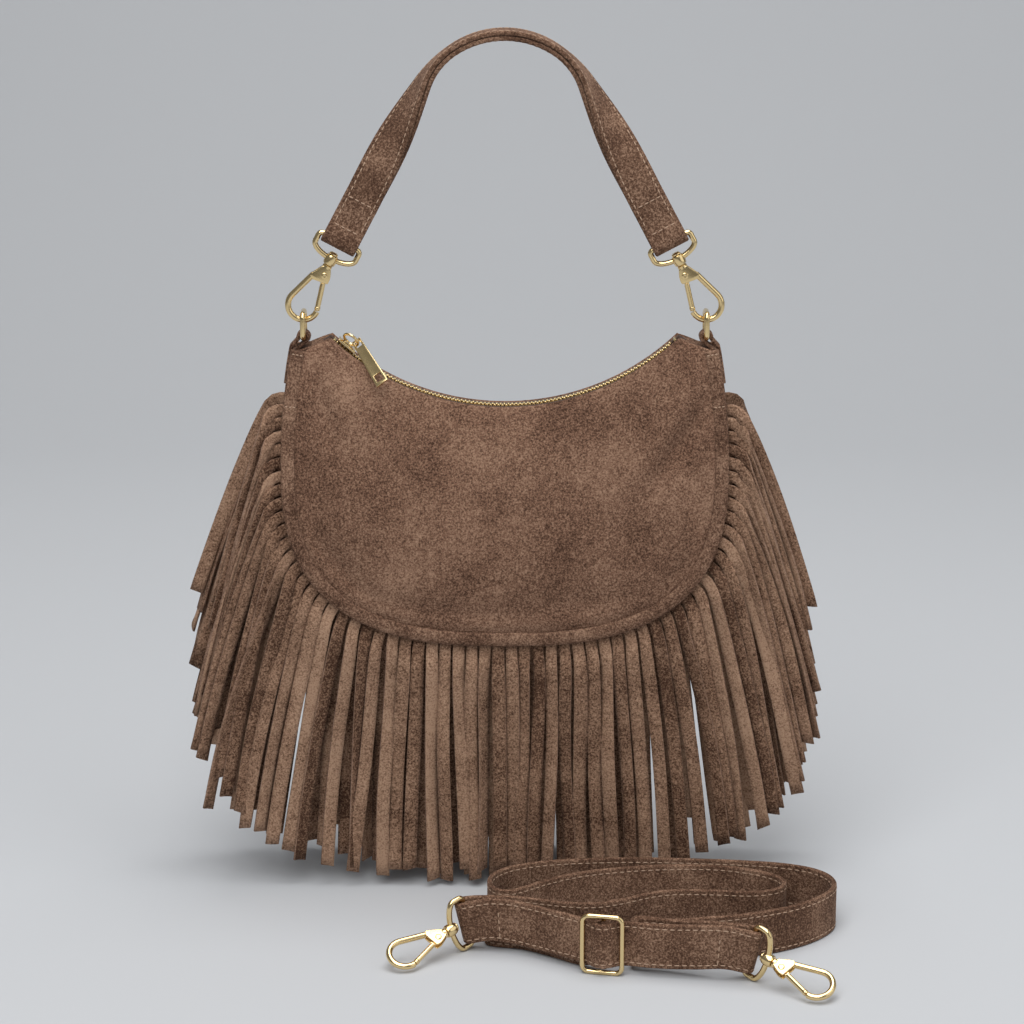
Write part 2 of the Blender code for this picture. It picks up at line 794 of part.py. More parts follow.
def eye_half(bar_width):
    """Half the distance between the middles of an eye's side wires."""
    return bar_width / 2 + EYE_SIDE_CLEAR + EYE_WIRE


def build_hook_eye(prefix, frame, bar_width):
    name = f"{prefix}_eye"
    half = eye_half(bar_width)
    points = [Vector((half, 0, EYE_BAR))]
    round_depth = EYE_DEPTH - EYE_STRAIGHT
    for step in range(11):
        turn = math.pi * step / 10
        low = EYE_STRAIGHT + round_depth * math.sin(turn)
        points.append(Vector((half * math.cos(turn), 0, EYE_BAR - low)))
    points.append(Vector((-half, 0, EYE_BAR)))
    ring = wire_mesh(name, points, EYE_WIRE, gold(name), True)
    profile = [
        (0, BARREL_LOW),
        (BARREL_RADIUS * 0.85, BARREL_LOW),
        (BARREL_RADIUS, BARREL_LOW + BARREL_LENGTH * 0.3),
        (BARREL_RADIUS, BARREL_LOW + BARREL_LENGTH * 0.7),
        (BARREL_RADIUS * 0.85, BARREL_TOP),
        (0, BARREL_TOP),
    ]
    barrel = turned(f"{name}_barrel", profile, None, CUTTERS)
    bore_radius = POST_RADIUS + GAP
    bore_profile = [
        (0, BARREL_LOW - 0.001),
        (bore_radius, BARREL_LOW - 0.001),
        (bore_radius, BARREL_TOP + 0.001),
        (0, BARREL_TOP + 0.001),
    ]
    bore = turned(f"{name}_bore", bore_profile, None, CUTTERS)
    for piece in (ring, barrel, bore):
        piece.matrix_world = frame
    combine(ring, barrel, "UNION")
    combine(ring, bore, "DIFFERENCE")


def bow_centre():
    return Vector((BOW_OFFSET, 0, BOW_RADIUS))


def arm_points():
    """Middle line of the bent arm, from the gate's seat round the bow and up to the plate."""
    centre = bow_centre()
    top = Vector((ARM_TOP[0], 0, ARM_TOP[1]))
    reach = top - centre
    lean = math.atan2(reach.z, reach.x) - math.acos(BOW_RADIUS / reach.length)
    points = []
    for step in range(15):
        turn = math.pi + (math.pi + lean) * step / 14
        points.append(centre + Vector((math.cos(turn), 0, math.sin(turn))) * BOW_RADIUS)
    points.append(top)
    return points


def build_hook_body(prefix, frame):
    name = f"{prefix}_hook"
    arm = wire_mesh(name, arm_points(), HOOK_WIRE, gold(name))
    outline = [
        (-0.0022, PLATE_TOP),
        (0.0022, PLATE_TOP),
        (ARM_TOP[0] + 0.0017, 0.0243),
        (ARM_TOP[0] - 0.0002, 0.0232),
        (0.0012, 0.0247),
        (-0.0046, 0.0238),
        (-0.0043, 0.0266),
    ]
    body = plate(f"{name}_plate", [outline], PLATE_THICKNESS, None, CUTTERS)
    slot_size = (SLOT_INNER + 0.008, SLOT_WIDTH, 0.0104)
    slot_at = (SLOT_INNER - slot_size[0] / 2, 0, 0.0252)
    slot = box(f"{name}_slot", slot_size, slot_at, None, CUTTERS)
    head_low = BARREL_TOP + GAP
    neck_top = BARREL_LOW - GAP
    profile = [
        (0, PLATE_TOP - 0.0008),
        (NECK_RADIUS, PLATE_TOP - 0.0008),
        (NECK_RADIUS, neck_top),
        (POST_RADIUS, neck_top),
        (POST_RADIUS, head_low),
        (HEAD_RADIUS, head_low),
        (HEAD_RADIUS, head_low + HEAD_THICKNESS * 0.6),
        (HEAD_RADIUS * 0.6, head_low + HEAD_THICKNESS),
        (0, head_low + HEAD_THICKNESS),
    ]
    post = turned(f"{name}_post", profile, None, CUTTERS)
    hole = turned(
        f"{name}_hole",
        [(0, -0.004), (PIN_RADIUS + GAP, -0.004), (PIN_RADIUS + GAP, 0.004), (0, 0.004)],
        None,
        CUTTERS,
    )
    for piece in (arm, slot, post):
        piece.matrix_world = frame
    body.matrix_world = frame @ FACING
    hole.matrix_world = frame @ Matrix.Translation((PIN_P, 0, PIN_Q)) @ FACING
    combine(arm, body, "UNION")
    combine(arm, slot, "DIFFERENCE")
    combine(arm, post, "UNION")
    combine(arm, hole, "DIFFERENCE")


def build_hook_gate(prefix, frame):
    """Straight spring gate: a round bar with a flat tongue round the pin."""
    name = f"{prefix}_gate"
    seat = arm_points()[0]
    low = Vector((seat.x + 0.0002, 0, seat.z + GATE_SLIT))
    top = Vector((PIN_P - 0.0011, 0, 0.0232))
    points = [low.lerp(top, part) for part in (0.0, 0.5, 1.0)]
    gate = wire_mesh(name, points, GATE_RADIUS, gold(name))
    tongue_loop = []
    for step in range(7):
        turn = math.pi * step / 6
        tongue_loop.append((PIN_P + TONGUE_RADIUS * math.cos(turn), PIN_Q + TONGUE_RADIUS * math.sin(turn)))
    tongue_loop.append((top.x - 0.0011, 0.0222))
    tongue_loop.append((top.x + 0.0011, 0.0222))
    tongue = plate(f"{name}_tongue", [tongue_loop], TONGUE_THICKNESS, None, CUTTERS)
    radius = PIN_RADIUS + GAP * 0.8
    hole = turned(f"{name}_hole", [(0, -0.004), (radius, -0.004), (radius, 0.004), (0, 0.004)], None, CUTTERS)
    gate.matrix_world = frame
    tongue.matrix_world = frame @ FACING
    hole.matrix_world = frame @ Matrix.Translation((PIN_P, 0, PIN_Q)) @ FACING
    combine(gate, tongue, "UNION")
    combine(gate, hole, "DIFFERENCE")


def build_hook_pin(prefix, frame):
    """Rivet with a head outside each cheek of the plate."""
    name = f"{prefix}_gate_pin"
    cheek = PLATE_THICKNESS / 2 + GAP
    head = 0.0005
    profile = [
        (0, -cheek - head),
        (PIN_HEAD_RADIUS, -cheek - head),
        (PIN_HEAD_RADIUS, -cheek),
        (PIN_RADIUS, -cheek),
        (PIN_RADIUS, cheek),
        (PIN_HEAD_RADIUS, cheek),
        (PIN_HEAD_RADIUS, cheek + head),
        (0, cheek + head),
    ]
    pin = turned(name, profile, gold(name))
    pin.matrix_world = frame @ Matrix.Translation((PIN_P, 0, PIN_Q)) @ FACING


def frame_from(origin, across, up):
    """A hook's frame from its origin, p direction and q direction."""
    up = up.normalized()
    across = (across - up * across.dot(up)).normalized()
    through = up.cross(across)
    frame = Matrix((across, through, up)).transposed().to_4x4()
    return Matrix.Translation(origin) @ frame


def handle_hook_frame(side):
    """Frame of a handle hook, with its bow round the ring's top bar."""
    up = Vector((-side * math.sin(HOOK_LEAN), 0, math.cos(HOOK_LEAN)))
    across = Vector((side * math.cos(HOOK_LEAN), 0, math.sin(HOOK_LEAN)))
    bar = ring_place(side) + Vector((0, 0, RING_HALF))
    rise = BOW_RADIUS - HOOK_WIRE - LINK_GAP - RING_WIRE
    centre = bar + Vector((0, 0, rise))
    bow = bow_centre()
    origin = centre - across * bow.x - up * bow.z
    return frame_from(origin, across, up)


def build_handle_hooks():
    for side, prefix in ((-1, "handle_left"), (1, "handle_right")):
        hook_shapes(prefix, handle_hook_frame(side), HANDLE_WIDTH)


# Handle
def handle_line():
    """The handle's middle line: a straight leg, a round top and a straight leg, as a function of length."""
    bar = handle_hook_frame(1) @ Vector((0, 0, EYE_BAR))
    lean_cos = math.cos(HOOK_LEAN)
    lean_sin = math.sin(HOOK_LEAN)
    centre_z = (HANDLE_APEX - bar.x * lean_cos - bar.z * lean_sin) / (1 - lean_sin)
    radius = HANDLE_APEX - centre_z
    touch = Vector((radius * lean_cos, 0, centre_z + radius * lean_sin))
    leg = (touch - bar).length
    arc = radius * (math.pi / 2 - HOOK_LEAN)
    half = leg + arc

    def at(length):
        side = -1 if length < half else 1
        size = length if side < 0 else 2 * half - length
        if size <= leg:
            point = bar.lerp(touch, size / leg)
            lean = HOOK_LEAN
        else:
            lean = HOOK_LEAN + (size - leg) / radius
            point = Vector((radius * math.cos(lean), 0, centre_z + radius * math.sin(lean)))
        outward = Vector((side * math.cos(lean), 0, math.sin(lean)))
        point = Vector((side * point.x, 0, point.z))
        tangent = Vector((outward.z, 0, -outward.x))
        twist = (size - HANDLE_TWIST_START) / (HANDLE_TWIST_END - HANDLE_TWIST_START)
        turn = math.pi / 2 * smoothstep(twist)
        facing = Vector((0, -math.cos(turn), 0)) + outward * math.sin(turn)
        return point, facing, tangent.cross(facing)

    return at, 2 * half


def layer_offset(size, sheet_thickness, wire_radius):
    """How far a folded band's layer lies from its middle line, near a bar and away from it."""
    pressed = sheet_thickness / 2 + GAP / 2
    round_bar = wire_radius + GAP + sheet_thickness / 2
    return pressed + (round_bar - pressed) * (1 - smoothstep((size - 0.001) / 0.012))


def build_handle():
    at, total = handle_line()
    outer = EYE_WIRE + GAP + HANDLE_SHEET / 2
    steps = round(total / 0.009)
    tail_steps = 4
    stations = []
    for index in range(tail_steps):
        length = HANDLE_TAIL * (1 - index / tail_steps)
        point, facing, across = at(length)
        offset = layer_offset(length, HANDLE_SHEET, EYE_WIRE)
        stations.append((point - facing * offset, across))
    for end in (0, 1):
        point, facing, across = at(total * end)
        down = across.cross(facing)
        down = down if down.z < 0 else -down
        wrap = []
        for step in range(5):
            turn = math.pi * (step / 4 - 0.5) * (1 - 2 * end)
            wrap.append((point + facing * (outer * math.sin(turn)) + down * (outer * math.cos(turn)), across))
        if end == 0:
            stations += wrap
            for index in range(1, steps):
                length = total * index / steps
                point, facing, across = at(length)
                offset = layer_offset(min(length, total - length), HANDLE_SHEET, EYE_WIRE)
                stations.append((point + facing * offset, across))
        else:
            stations += wrap
    for index in range(tail_steps):
        length = total - HANDLE_TAIL * (index + 1) / tail_steps
        point, facing, across = at(length)
        offset = layer_offset(total - length, HANDLE_SHEET, EYE_WIRE)
        stations.append((point - facing * offset, across))
    ribbon("handle_band", stations, HANDLE_WIDTH, HANDLE_SHEET, suede("handle_band"))

    start = HANDLE_TAIL + GAP
    lengths = [total * index / steps for index in range(steps + 1)]
    lengths = [start] + [length for length in lengths if start + 0.002 < length < total - start - 0.002]
    backing = []
    for length in lengths + [total - start]:
        point, facing, across = at(length)
        backing.append((point - facing * (HANDLE_SHEET / 2 + GAP / 2), across))
    ribbon("handle_backing", backing, HANDLE_WIDTH, HANDLE_SHEET, suede("handle_backing"))


# Shoulder strap: its route on the floor, as points chosen by hand
FRONT_ROUTE = (
    (-0.008, -0.1199),
    (0.004, -0.1216),
    (0.016, -0.1266),
    (0.028, -0.1345),
)
RIGHT_ROUTE = ((0.072, -0.1498), (0.084, -0.1516), (0.098, -0.1540), (0.112, -0.1565))
BACK_ROUTE = (
    (0.112, -0.1532),
    (0.103, -0.1505),
    (0.092, -0.1466),
    (0.080, -0.1435),
    (0.070, -0.1425),
    (0.0655, -0.1405),
    (0.0665, -0.1365),
    (0.072, -0.1350),
)
COIL_ROUTE = (
    (0.086, -0.1335),
    (0.104, -0.1308),
    (0.124, -0.1262),
    (0.146, -0.1172),
    (0.163, -0.1045),
    (0.173, -0.0895),
    (0.1730, -0.0755),
    (0.165, -0.0645),
    (0.150, -0.0573),
    (0.128, -0.0530),
    (0.100, -0.0502),
    (0.070, -0.0487),
    (0.040, -0.0503),
    (0.018, -0.0545),
    (0.002, -0.0620),
    (-0.0065, -0.0725),
    (-0.0078, -0.0840),
    (-0.0040, -0.0925),
    (0.0030, -0.0940),
    (0.011, -0.0890),
    (0.022, -0.0800),
    (0.035, -0.0718),
    (0.051, -0.0655),
    (0.076, -0.0602),
    (0.100, -0.0587),
    (0.118, -0.0605),
    (0.134, -0.0665),
    (0.1450, -0.0750),
    (0.1475, -0.0845),
    (0.1420, -0.0925),
    (0.129, -0.0960),
    (0.110, -0.0945),
    (0.090, -0.0940),
    (0.076, -0.0980),
    (0.062, -0.1060),
    (0.048, -0.1115),
    (0.034, -0.1110),
    (0.020, -0.1072),
    (0.008, -0.1036),
    (-0.002, -0.1022),
    (-0.0085, -0.1050),
    (-0.0085, -0.1105),
    (-0.002, -0.1135),
    (0.008, -0.1155),
    (0.019, -0.1215),
    (0.029, -0.1288),
    (0.038, -0.1355),
)


def flat_vector(pair):
    return Vector((pair[0], pair[1], 0))


def strap_eye_height():
    """Height of the middle of a strap eye's bar, with its lowest corner just above the floor."""
    half = eye_half(STRAP_HEIGHT)
    dip = STRAP_HOOK_DIP
    return half * math.cos(dip) + EYE_STRAIGHT * math.sin(dip) + EYE_WIRE + GAP


def adjuster_frame_axes():
    """Middle of the slide adjuster on the floor plan, its direction and the way it faces back."""
    centre = flat_vector(ADJUSTER_AT)
    along = Vector((math.cos(ADJUSTER_TURN), math.sin(ADJUSTER_TURN), 0))
    back = Vector((-along.y, along.x, 0))
    return centre, along, back


def round_bar(bar, start, sweep, radius, steps):
    """Points round an upright bar on the floor plan, angles in degrees."""
    centre = flat_vector(bar)
    points = []
    for step in range(steps + 1):
        turn = math.radians(start + sweep * step / steps)
        points.append(centre + Vector((math.cos(turn), math.sin(turn), 0)) * radius)
    return points


def strap_route():
    """Plan points of the whole strap and the height of its middle at each."""
    centre, along, back = adjuster_frame_axes()
    wrap = EYE_WIRE + GAP + STRAP_SHEET / 2
    behind = ADJUSTER_WIRE + GAP + STRAP_SHEET / 2 + ADJUSTER_SLACK
    outer_bar = ADJUSTER_WIDTH / 2 - ADJUSTER_WIRE
    fold = ADJUSTER_BAR + GAP + STRAP_SHEET / 2
    over = fold + STRAP_SHEET + ADJUSTER_SLACK - ADJUSTER_BAR_BACK
    eye_height = strap_eye_height()
    frame_height = ADJUSTER_HEIGHT / 2
    coil_height = STRAP_HEIGHT / 2 + GAP
    left = flat_vector(LEFT_BAR)
    tail = [left + Vector((STRAP_TAIL * part, 0, 0)) for part in (1.0, 0.75, 0.5, 0.25)]
    tail_points = []
    for point in tail:
        offset = layer_offset((point - left).length, STRAP_SHEET, EYE_WIRE)
        tail_points.append(point + Vector((0, offset - 0.0009 * (point - left).length / 0.01, 0)))
    route = [(point, eye_height) for point in tail_points]
    route += [(point, eye_height) for point in round_bar(LEFT_BAR, 90, 180, wrap, 4)]
    route += [(flat_vector(point), eye_height) for point in FRONT_ROUTE]
    route.append((centre - along * outer_bar + back * behind, frame_height))
    route.append((centre - back * over, frame_height))
    route.append((centre + along * outer_bar + back * behind, frame_height))
    route += [(flat_vector(point), eye_height) for point in RIGHT_ROUTE]
    route += [(point, eye_height) for point in round_bar(RIGHT_BAR, -100, 195, wrap, 4)]
    route += [(flat_vector(point), eye_height) for point in BACK_ROUTE[:5]]
    route += [(flat_vector(point), (eye_height + coil_height) / 2) for point in BACK_ROUTE[5:]]
    route += [(flat_vector(point), coil_height) for point in COIL_ROUTE]
    bar = centre + back * ADJUSTER_BAR_BACK
    fold_angle = math.degrees(ADJUSTER_TURN)
    run_in = bar - along * fold * FOLD_RUN_IN[0] + back * fold * FOLD_RUN_IN[1]
    route.append((run_in, (coil_height + frame_height) / 2))
    route += [(point, frame_height) for point in round_bar(bar, fold_angle + 90, -STRAP_FOLD_SWEEP, fold, 5)]
    return lift_ends(route, eye_height)


def lift_ends(route, eye_height):
    """Keep the band square to each leaning eye's bar by raising it a little behind the bar."""
    slope = math.tan(STRAP_HOOK_DIP)
    lifted = []
    for point, height in route:
        rise = 0.0
        for bar, turn in ((LEFT_BAR, LEFT_HOOK_TURN), (RIGHT_BAR, RIGHT_HOOK_TURN)):
            away = point - flat_vector(bar)
            near = 1 - smoothstep(away.length / STRAP_LEAN_RUN)
            behind = -(away.x * math.cos(turn) + away.y * math.sin(turn))
            if height == eye_height:
                rise += slope * behind * near
        lifted.append((point, height + rise))
    return lifted


def smooth_route(route):
    """Curve through the route's points, with steps short enough for its bends."""
    points = [point + Vector((0, 0, height)) for point, height in route]
    dense = []
    for index in range(len(points) - 1):
        before = points[max(index - 1, 0)]
        first = points[index]
        second = points[index + 1]
        after = points[min(index + 2, len(points) - 1)]
        for step in range(8):
            part = step / 8
            pull_a = (second - before) * 0.5
            pull_b = (after - first) * 0.5
            square = part * part
            cube = square * part
            dense.append(
                first * (2 * cube - 3 * square + 1)
                + pull_a * (cube - 2 * square + part)
                + second * (-2 * cube + 3 * square)
                + pull_b * (cube - square)
            )
    dense.append(points[-1])
    kept = [dense[0]]
    heading = (dense[1] - dense[0]).normalized()
    for index in range(1, len(dense) - 1):
        step = dense[index] - kept[-1]
        now = (dense[index + 1] - dense[index]).normalized()
        turned_enough = now.angle(heading) > STRAP_TURN_STEP
        if step.length > STRAP_SHORT_STEP and (turned_enough or step.length > STRAP_LONG_STEP):
            kept.append(dense[index])
            heading = now
    kept.append(dense[-1])
    return kept


def strap_eye_axes(turn):
    """Direction a strap hook points in and the direction of its eye's bar, which leans with it."""
    level = Vector((math.cos(turn), math.sin(turn), 0))
    dip = STRAP_HOOK_DIP
    out = level * math.cos(dip) - Vector((0, 0, math.sin(dip)))
    bar = level * math.sin(dip) + Vector((0, 0, math.cos(dip)))
    return out, bar


def build_strap():
    """The band stands on its edge and leans with each eye's bar near its two ends."""
    points = smooth_route(strap_route())
    reach = [0.0]
    for first, second in zip(points, points[1:]):
        reach.append(reach[-1] + (second - first).length)
    _, left_lean = strap_eye_axes(LEFT_HOOK_TURN)
    _, right_lean = strap_eye_axes(RIGHT_HOOK_TURN)
    left_at = nearest_reach(points, reach, LEFT_BAR)
    right_at = nearest_reach(points, reach, RIGHT_BAR)
    stations = []
    for point, length in zip(points, reach):
        left_part = 1 - smoothstep(abs(length - left_at) / STRAP_LEAN_RUN)
        right_part = 1 - smoothstep(abs(length - right_at) / STRAP_LEAN_RUN)
        upright = Vector((0, 0, 1))
        across = upright.lerp(left_lean, left_part).lerp(right_lean, right_part)
        stations.append((point, across.normalized()))
    ribbon("strap_band", stations, STRAP_HEIGHT, STRAP_SHEET, suede("strap_band"))


def nearest_reach(points, reach, bar):
    """Length along the band at the middle of its fold round a bar."""
    close = []
    for point, length in zip(points, reach):
        if math.dist(point[:2], bar) < EYE_WIRE + GAP + STRAP_SHEET:
            close.append(length)
    return (close[0] + close[-1]) / 2


def build_strap_hooks():
    """Each eye's bar leans in its fold, so that the hook dips and its bow comes down to the floor."""
    for prefix, bar, turn, roll in (
        ("strap_left", LEFT_BAR, LEFT_HOOK_TURN, -STRAP_HOOK_ROLL),
        ("strap_right", RIGHT_BAR, RIGHT_HOOK_TURN, STRAP_HOOK_ROLL),
    ):
        out, lean = strap_eye_axes(turn)
        bar_point = Vector((bar[0], bar[1], strap_eye_height()))
        frame = frame_from(bar_point + out * EYE_BAR, lean, -out)
        hook_shapes(prefix, frame, STRAP_HEIGHT, roll)


def build_adjuster():
    centre, along, back = adjuster_frame_axes()
    half_w = ADJUSTER_WIDTH / 2 - ADJUSTER_WIRE
    half_h = ADJUSTER_HEIGHT / 2 - ADJUSTER_WIRE
    middle = centre + Vector((0, 0, ADJUSTER_HEIGHT / 2))
    loop = rounded_loop(half_w, half_h, ADJUSTER_CORNER)
    points = [middle + along * a + Vector((0, 0, b)) for a, b in loop]
    wire("adjuster_frame", points, ADJUSTER_WIRE, gold("adjuster_frame"), True)
    name = "adjuster_bar"
    foot = middle + back * ADJUSTER_BAR_BACK
    reach = half_h - ADJUSTER_WIRE - GAP
    ends = [foot + Vector((0, 0, -reach)), foot + Vector((0, 0, reach))]
    wire(name, ends, ADJUSTER_BAR, gold(name))


def stand_on_front_tip():
    """Move everything so that the middle front strand's tip stands on the origin."""
    tip = gusset_half(SEAM_LOW) - HEADER_FRONT + FRINGE_SPREAD
    shift = Matrix.Translation((0, tip, 0))
    for obj in list(BAG.objects) + list(CUTTERS.objects):
        obj.matrix_world = shift @ obj.matrix_world


build_panels()
build_gusset()
build_lining()
build_bindings()
build_fringes()
build_zip_tapes()
build_zip_teeth()
build_zip_stops()
build_slider()
build_pull()
build_rings()
build_tabs()
build_handle_hooks()
build_handle()
build_strap()
build_strap_hooks()
build_adjuster()
stand_on_front_tip()
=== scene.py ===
"""Looks of the fringed suede bag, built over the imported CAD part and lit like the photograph.

Every size is in metres, +Z is up and the bag's front faces -Y. Each class builds one
sub-assembly: the suede body, the fringe, the zip, the hooks and rings, the handle and the
shoulder strap, and then the studio that shows them.
"""

from __future__ import annotations

import logging
import math
import random
from dataclasses import dataclass, field
from enum import Enum
from itertools import accumulate
from typing import Any, Callable, Optional, Sequence

import bmesh
import bpy
from mathutils import Matrix, Vector, noise

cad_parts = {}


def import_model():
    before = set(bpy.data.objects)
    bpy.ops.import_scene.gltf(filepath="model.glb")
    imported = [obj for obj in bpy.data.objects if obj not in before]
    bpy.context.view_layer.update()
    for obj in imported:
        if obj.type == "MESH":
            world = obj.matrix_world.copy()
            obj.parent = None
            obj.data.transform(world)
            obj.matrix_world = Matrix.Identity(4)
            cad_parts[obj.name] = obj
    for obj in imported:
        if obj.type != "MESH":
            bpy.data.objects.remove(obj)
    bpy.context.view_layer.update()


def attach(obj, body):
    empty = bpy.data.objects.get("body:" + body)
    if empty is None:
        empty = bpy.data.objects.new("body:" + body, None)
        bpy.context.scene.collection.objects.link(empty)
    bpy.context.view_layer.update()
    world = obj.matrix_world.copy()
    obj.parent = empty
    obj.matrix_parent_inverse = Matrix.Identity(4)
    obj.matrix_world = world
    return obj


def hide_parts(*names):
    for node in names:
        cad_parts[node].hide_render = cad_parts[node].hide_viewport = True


LOG = logging.getLogger("fringed_suede_bag")

MM = 0.001
UP = Vector((0, 0, 1))
DEEP = Vector((0, 1, 0))
# Clearance between neighbouring pieces, as in the solids.
GAP = 0.3 * MM
# The frame's origin is the tip of the middle front strand, this far before the bag's middle.
STAND = Vector((0, 29.3 * MM, 0))
# Turns a plate that is drawn flat so that it faces the front.
TO_FRONT = Matrix.Rotation(math.radians(90), 4, "X")
# Middle of the right ring, half its side and the radius of its wire.
RING_X, RING_Z = 0.1069, 0.3075
RING_HALF, RING_WIRE = 6.5 * MM, 1.5 * MM
# A point of a band and the direction across it, or a stitch's place and the way it faces.
Station = tuple[Vector, Vector]
Pair = tuple[float, float]


class Side(Enum):
    """Left and right as seen from the front, with the sign of X."""

    LEFT = -1
    RIGHT = 1


class Face(Enum):
    """Front and back of the bag, with the sign of Y."""

    FRONT = -1
    BACK = 1


# Colours, nodes and lines of points


def linear(hex_colour: str) -> tuple[float, float, float, float]:
    """Turn an sRGB hex colour into linear RGBA.

    Args:
        hex_colour: Six hex digits, with or without a leading hash.

    Returns:
        Linear red, green, blue and an alpha of one.
    """
    digits = hex_colour.lstrip("#")
    parts = [int(digits[index : index + 2], 16) / 255 for index in (0, 2, 4)]
    bent = [c / 12.92 if c <= 0.04045 else ((c + 0.055) / 1.055) ** 2.4 for c in parts]
    return (bent[0], bent[1], bent[2], 1.0)


def add_node(tree: Any, kind: str, inputs: Optional[dict] = None, **settings: Any) -> Any:
    """Add a node, set its properties and either link or set its inputs.

    Args:
        tree: Node tree of the material or world.
        kind: Blender's type name of the node.
        inputs: Socket name or index to a value or to an output socket.
        settings: Properties of the node itself.

    Returns:
        The new node.
    """
    node = tree.nodes.new(kind)
    for key, value in settings.items():
        setattr(node, key, value)
    for key, value in (inputs or {}).items():
        if isinstance(value, bpy.types.NodeSocket):
            tree.links.new(value, node.inputs[key])
        else:
            node.inputs[key].default_value = value
    return node


def smoothstep(value: float) -> float:
    """Ease from 0 to 1 while value goes from 0 to 1."""
    value = min(1.0, max(0.0, value))
    return value * value * (3 - 2 * value)


def arc_points(radius: float, start: float, sweep: float, steps: int) -> list[Pair]:
    """Points on an arc about the origin, with both of its ends.

    Args:
        radius: Radius of the arc.
        start: Angle of the first point in degrees.
        sweep: Angle to the last point, negative for clockwise.
        steps: Number of equal steps.

    Returns:
        The points in order.
    """
    turns = [math.radians(start + sweep * step / steps) for step in range(steps + 1)]
    return [(radius * math.cos(turn), radius * math.sin(turn)) for turn in turns]


def rounded_frame(half_p: float, half_q: float, corner: float) -> list[Pair]:
    """Points round a rectangle with rounded corners.

    Args:
        half_p: Half the first side.
        half_q: Half the second side.
        corner: Radius of the corners.

    Returns:
        Nine points for each corner, anticlockwise.
    """
    points = []
    for index, (a, b) in enumerate(((1, 1), (-1, 1), (-1, -1), (1, -1))):
        for p, q in arc_points(corner, 90 * index, 90, 8):
            points.append((a * (half_p - corner) + p, b * (half_q - corner) + q))
    return points


def reaches(points: Sequence[Sequence[float]]) -> list[float]:
    """Length along a line of points, up to each of them."""
    lengths = [math.dist(first, second) for first, second in zip(points, points[1:])]
    return list(accumulate(lengths, initial=0.0))


# Finishes


@dataclass(frozen=True)
class Finish:
    """A surface finish that builds its own material once."""

    name: str
    colour: str
    roughness: float

    def material(self) -> bpy.types.Material:
        """Make the finish's material on first use.

        Returns:
            The one material of this finish.
        """
        made = bpy.data.materials.get(self.name)
        if made is None:
            made = bpy.data.materials.new(self.name)
            made.use_nodes = True
            self.dress(made.node_tree, made.node_tree.nodes["Principled BSDF"])
        return made

    def dress(self, tree: Any, shader: Any) -> None:
        """Set up the shader's sockets. Plain finishes use one colour."""
        shader.inputs["Base Color"].default_value = linear(self.colour)
        shader.inputs["Roughness"].default_value = self.roughness


@dataclass(frozen=True)
class Suede(Finish):
    """Brushed suede: soft patches where the nap lies another way and a fine fibrous grain.

    Scales are in cells per metre. 24 gives patches about 42 mm across, with brushing marks of
    5 mm. Real fibres are finer than 0.1 mm, so the grain is drawn at 1 mm, where it shows.
    """

    dark: str = "422E23"
    light: str = "9F806A"
    patch_scale: float = 24.0
    grain_scale: float = 1000.0
    grain_depth: float = 0.0005
    patch_share: float = 0.8
    brushing_share: float = 0.5
    grain_share: float = 2.05
    level: float = -1.175
    shaded: bool = False

    def dress(self, tree: Any, shader: Any) -> None:
        """Mix three sizes of noise into the colour and the two finer ones into the bump.

        Args:
            tree: The material's node tree.
            shader: Its Principled shader.
        """
        spot = add_node(tree, "ShaderNodeTexCoord").outputs["Object"]
        patches = self.noise(tree, spot, self.patch_scale, 3.0, 0.55)
        brushing = self.noise(tree, spot, self.patch_scale * 9, 4.0, 0.7)
        grain = self.noise(tree, spot, self.grain_scale, 3.0, 0.75)
        value = self.blend(tree, patches, self.patch_share, self.level)
        value = self.blend(tree, brushing, self.brushing_share, value)
        value = self.blend(tree, grain, self.grain_share, value)
        if self.shaded:
            shade = add_node(tree, "ShaderNodeAttribute", attribute_name="shade").outputs["Fac"]
            value = self.blend(tree, shade, 1.0, value)
        ramp = add_node(tree, "ShaderNodeValToRGB", {"Fac": value})
        stops = ramp.color_ramp.elements
        for stop, position, tone in ((0, 0.18, self.dark), (1, 0.86, self.light)):
            stops[stop].position = position
            stops[stop].color = linear(tone)
        stops.new(0.5).color = linear(self.colour)
        bump = {"Height": grain, "Strength": 0.7, "Distance": self.grain_depth}
        fine = add_node(tree, "ShaderNodeBump", bump).outputs["Normal"]
        bump = {"Height": brushing, "Strength": 0.35, "Distance": 0.8 * MM, "Normal": fine}
        soft = add_node(tree, "ShaderNodeBump", bump).outputs["Normal"]
        tree.links.new(ramp.outputs["Color"], shader.inputs["Base Color"])
        tree.links.new(soft, shader.inputs["Normal"])
        shader.inputs["Roughness"].default_value = self.roughness
        shader.inputs["Specular IOR Level"].default_value = 0.12
        shader.inputs["Sheen Weight"].default_value = 0.12
        shader.inputs["Sheen Roughness"].default_value = 0.5
        shader.inputs["Sheen Tint"].default_value = linear("CBB2A2")

    @staticmethod
    def noise(tree: Any, spot: Any, scale: float, detail: float, rough: float) -> Any:
        """A noise value at a scale in cells per metre."""
        inputs = {"Vector": spot, "Scale": scale, "Detail": detail, "Roughness": rough}
        return add_node(tree, "ShaderNodeTexNoise", inputs).outputs["Fac"]

    @staticmethod
    def blend(tree: Any, value: Any, factor: float, offset: Any) -> Any:
        """value times factor plus offset."""
        inputs = {0: value, 1: factor, 2: offset}
        return add_node(tree, "ShaderNodeMath", inputs, operation="MULTIPLY_ADD").outputs[0]


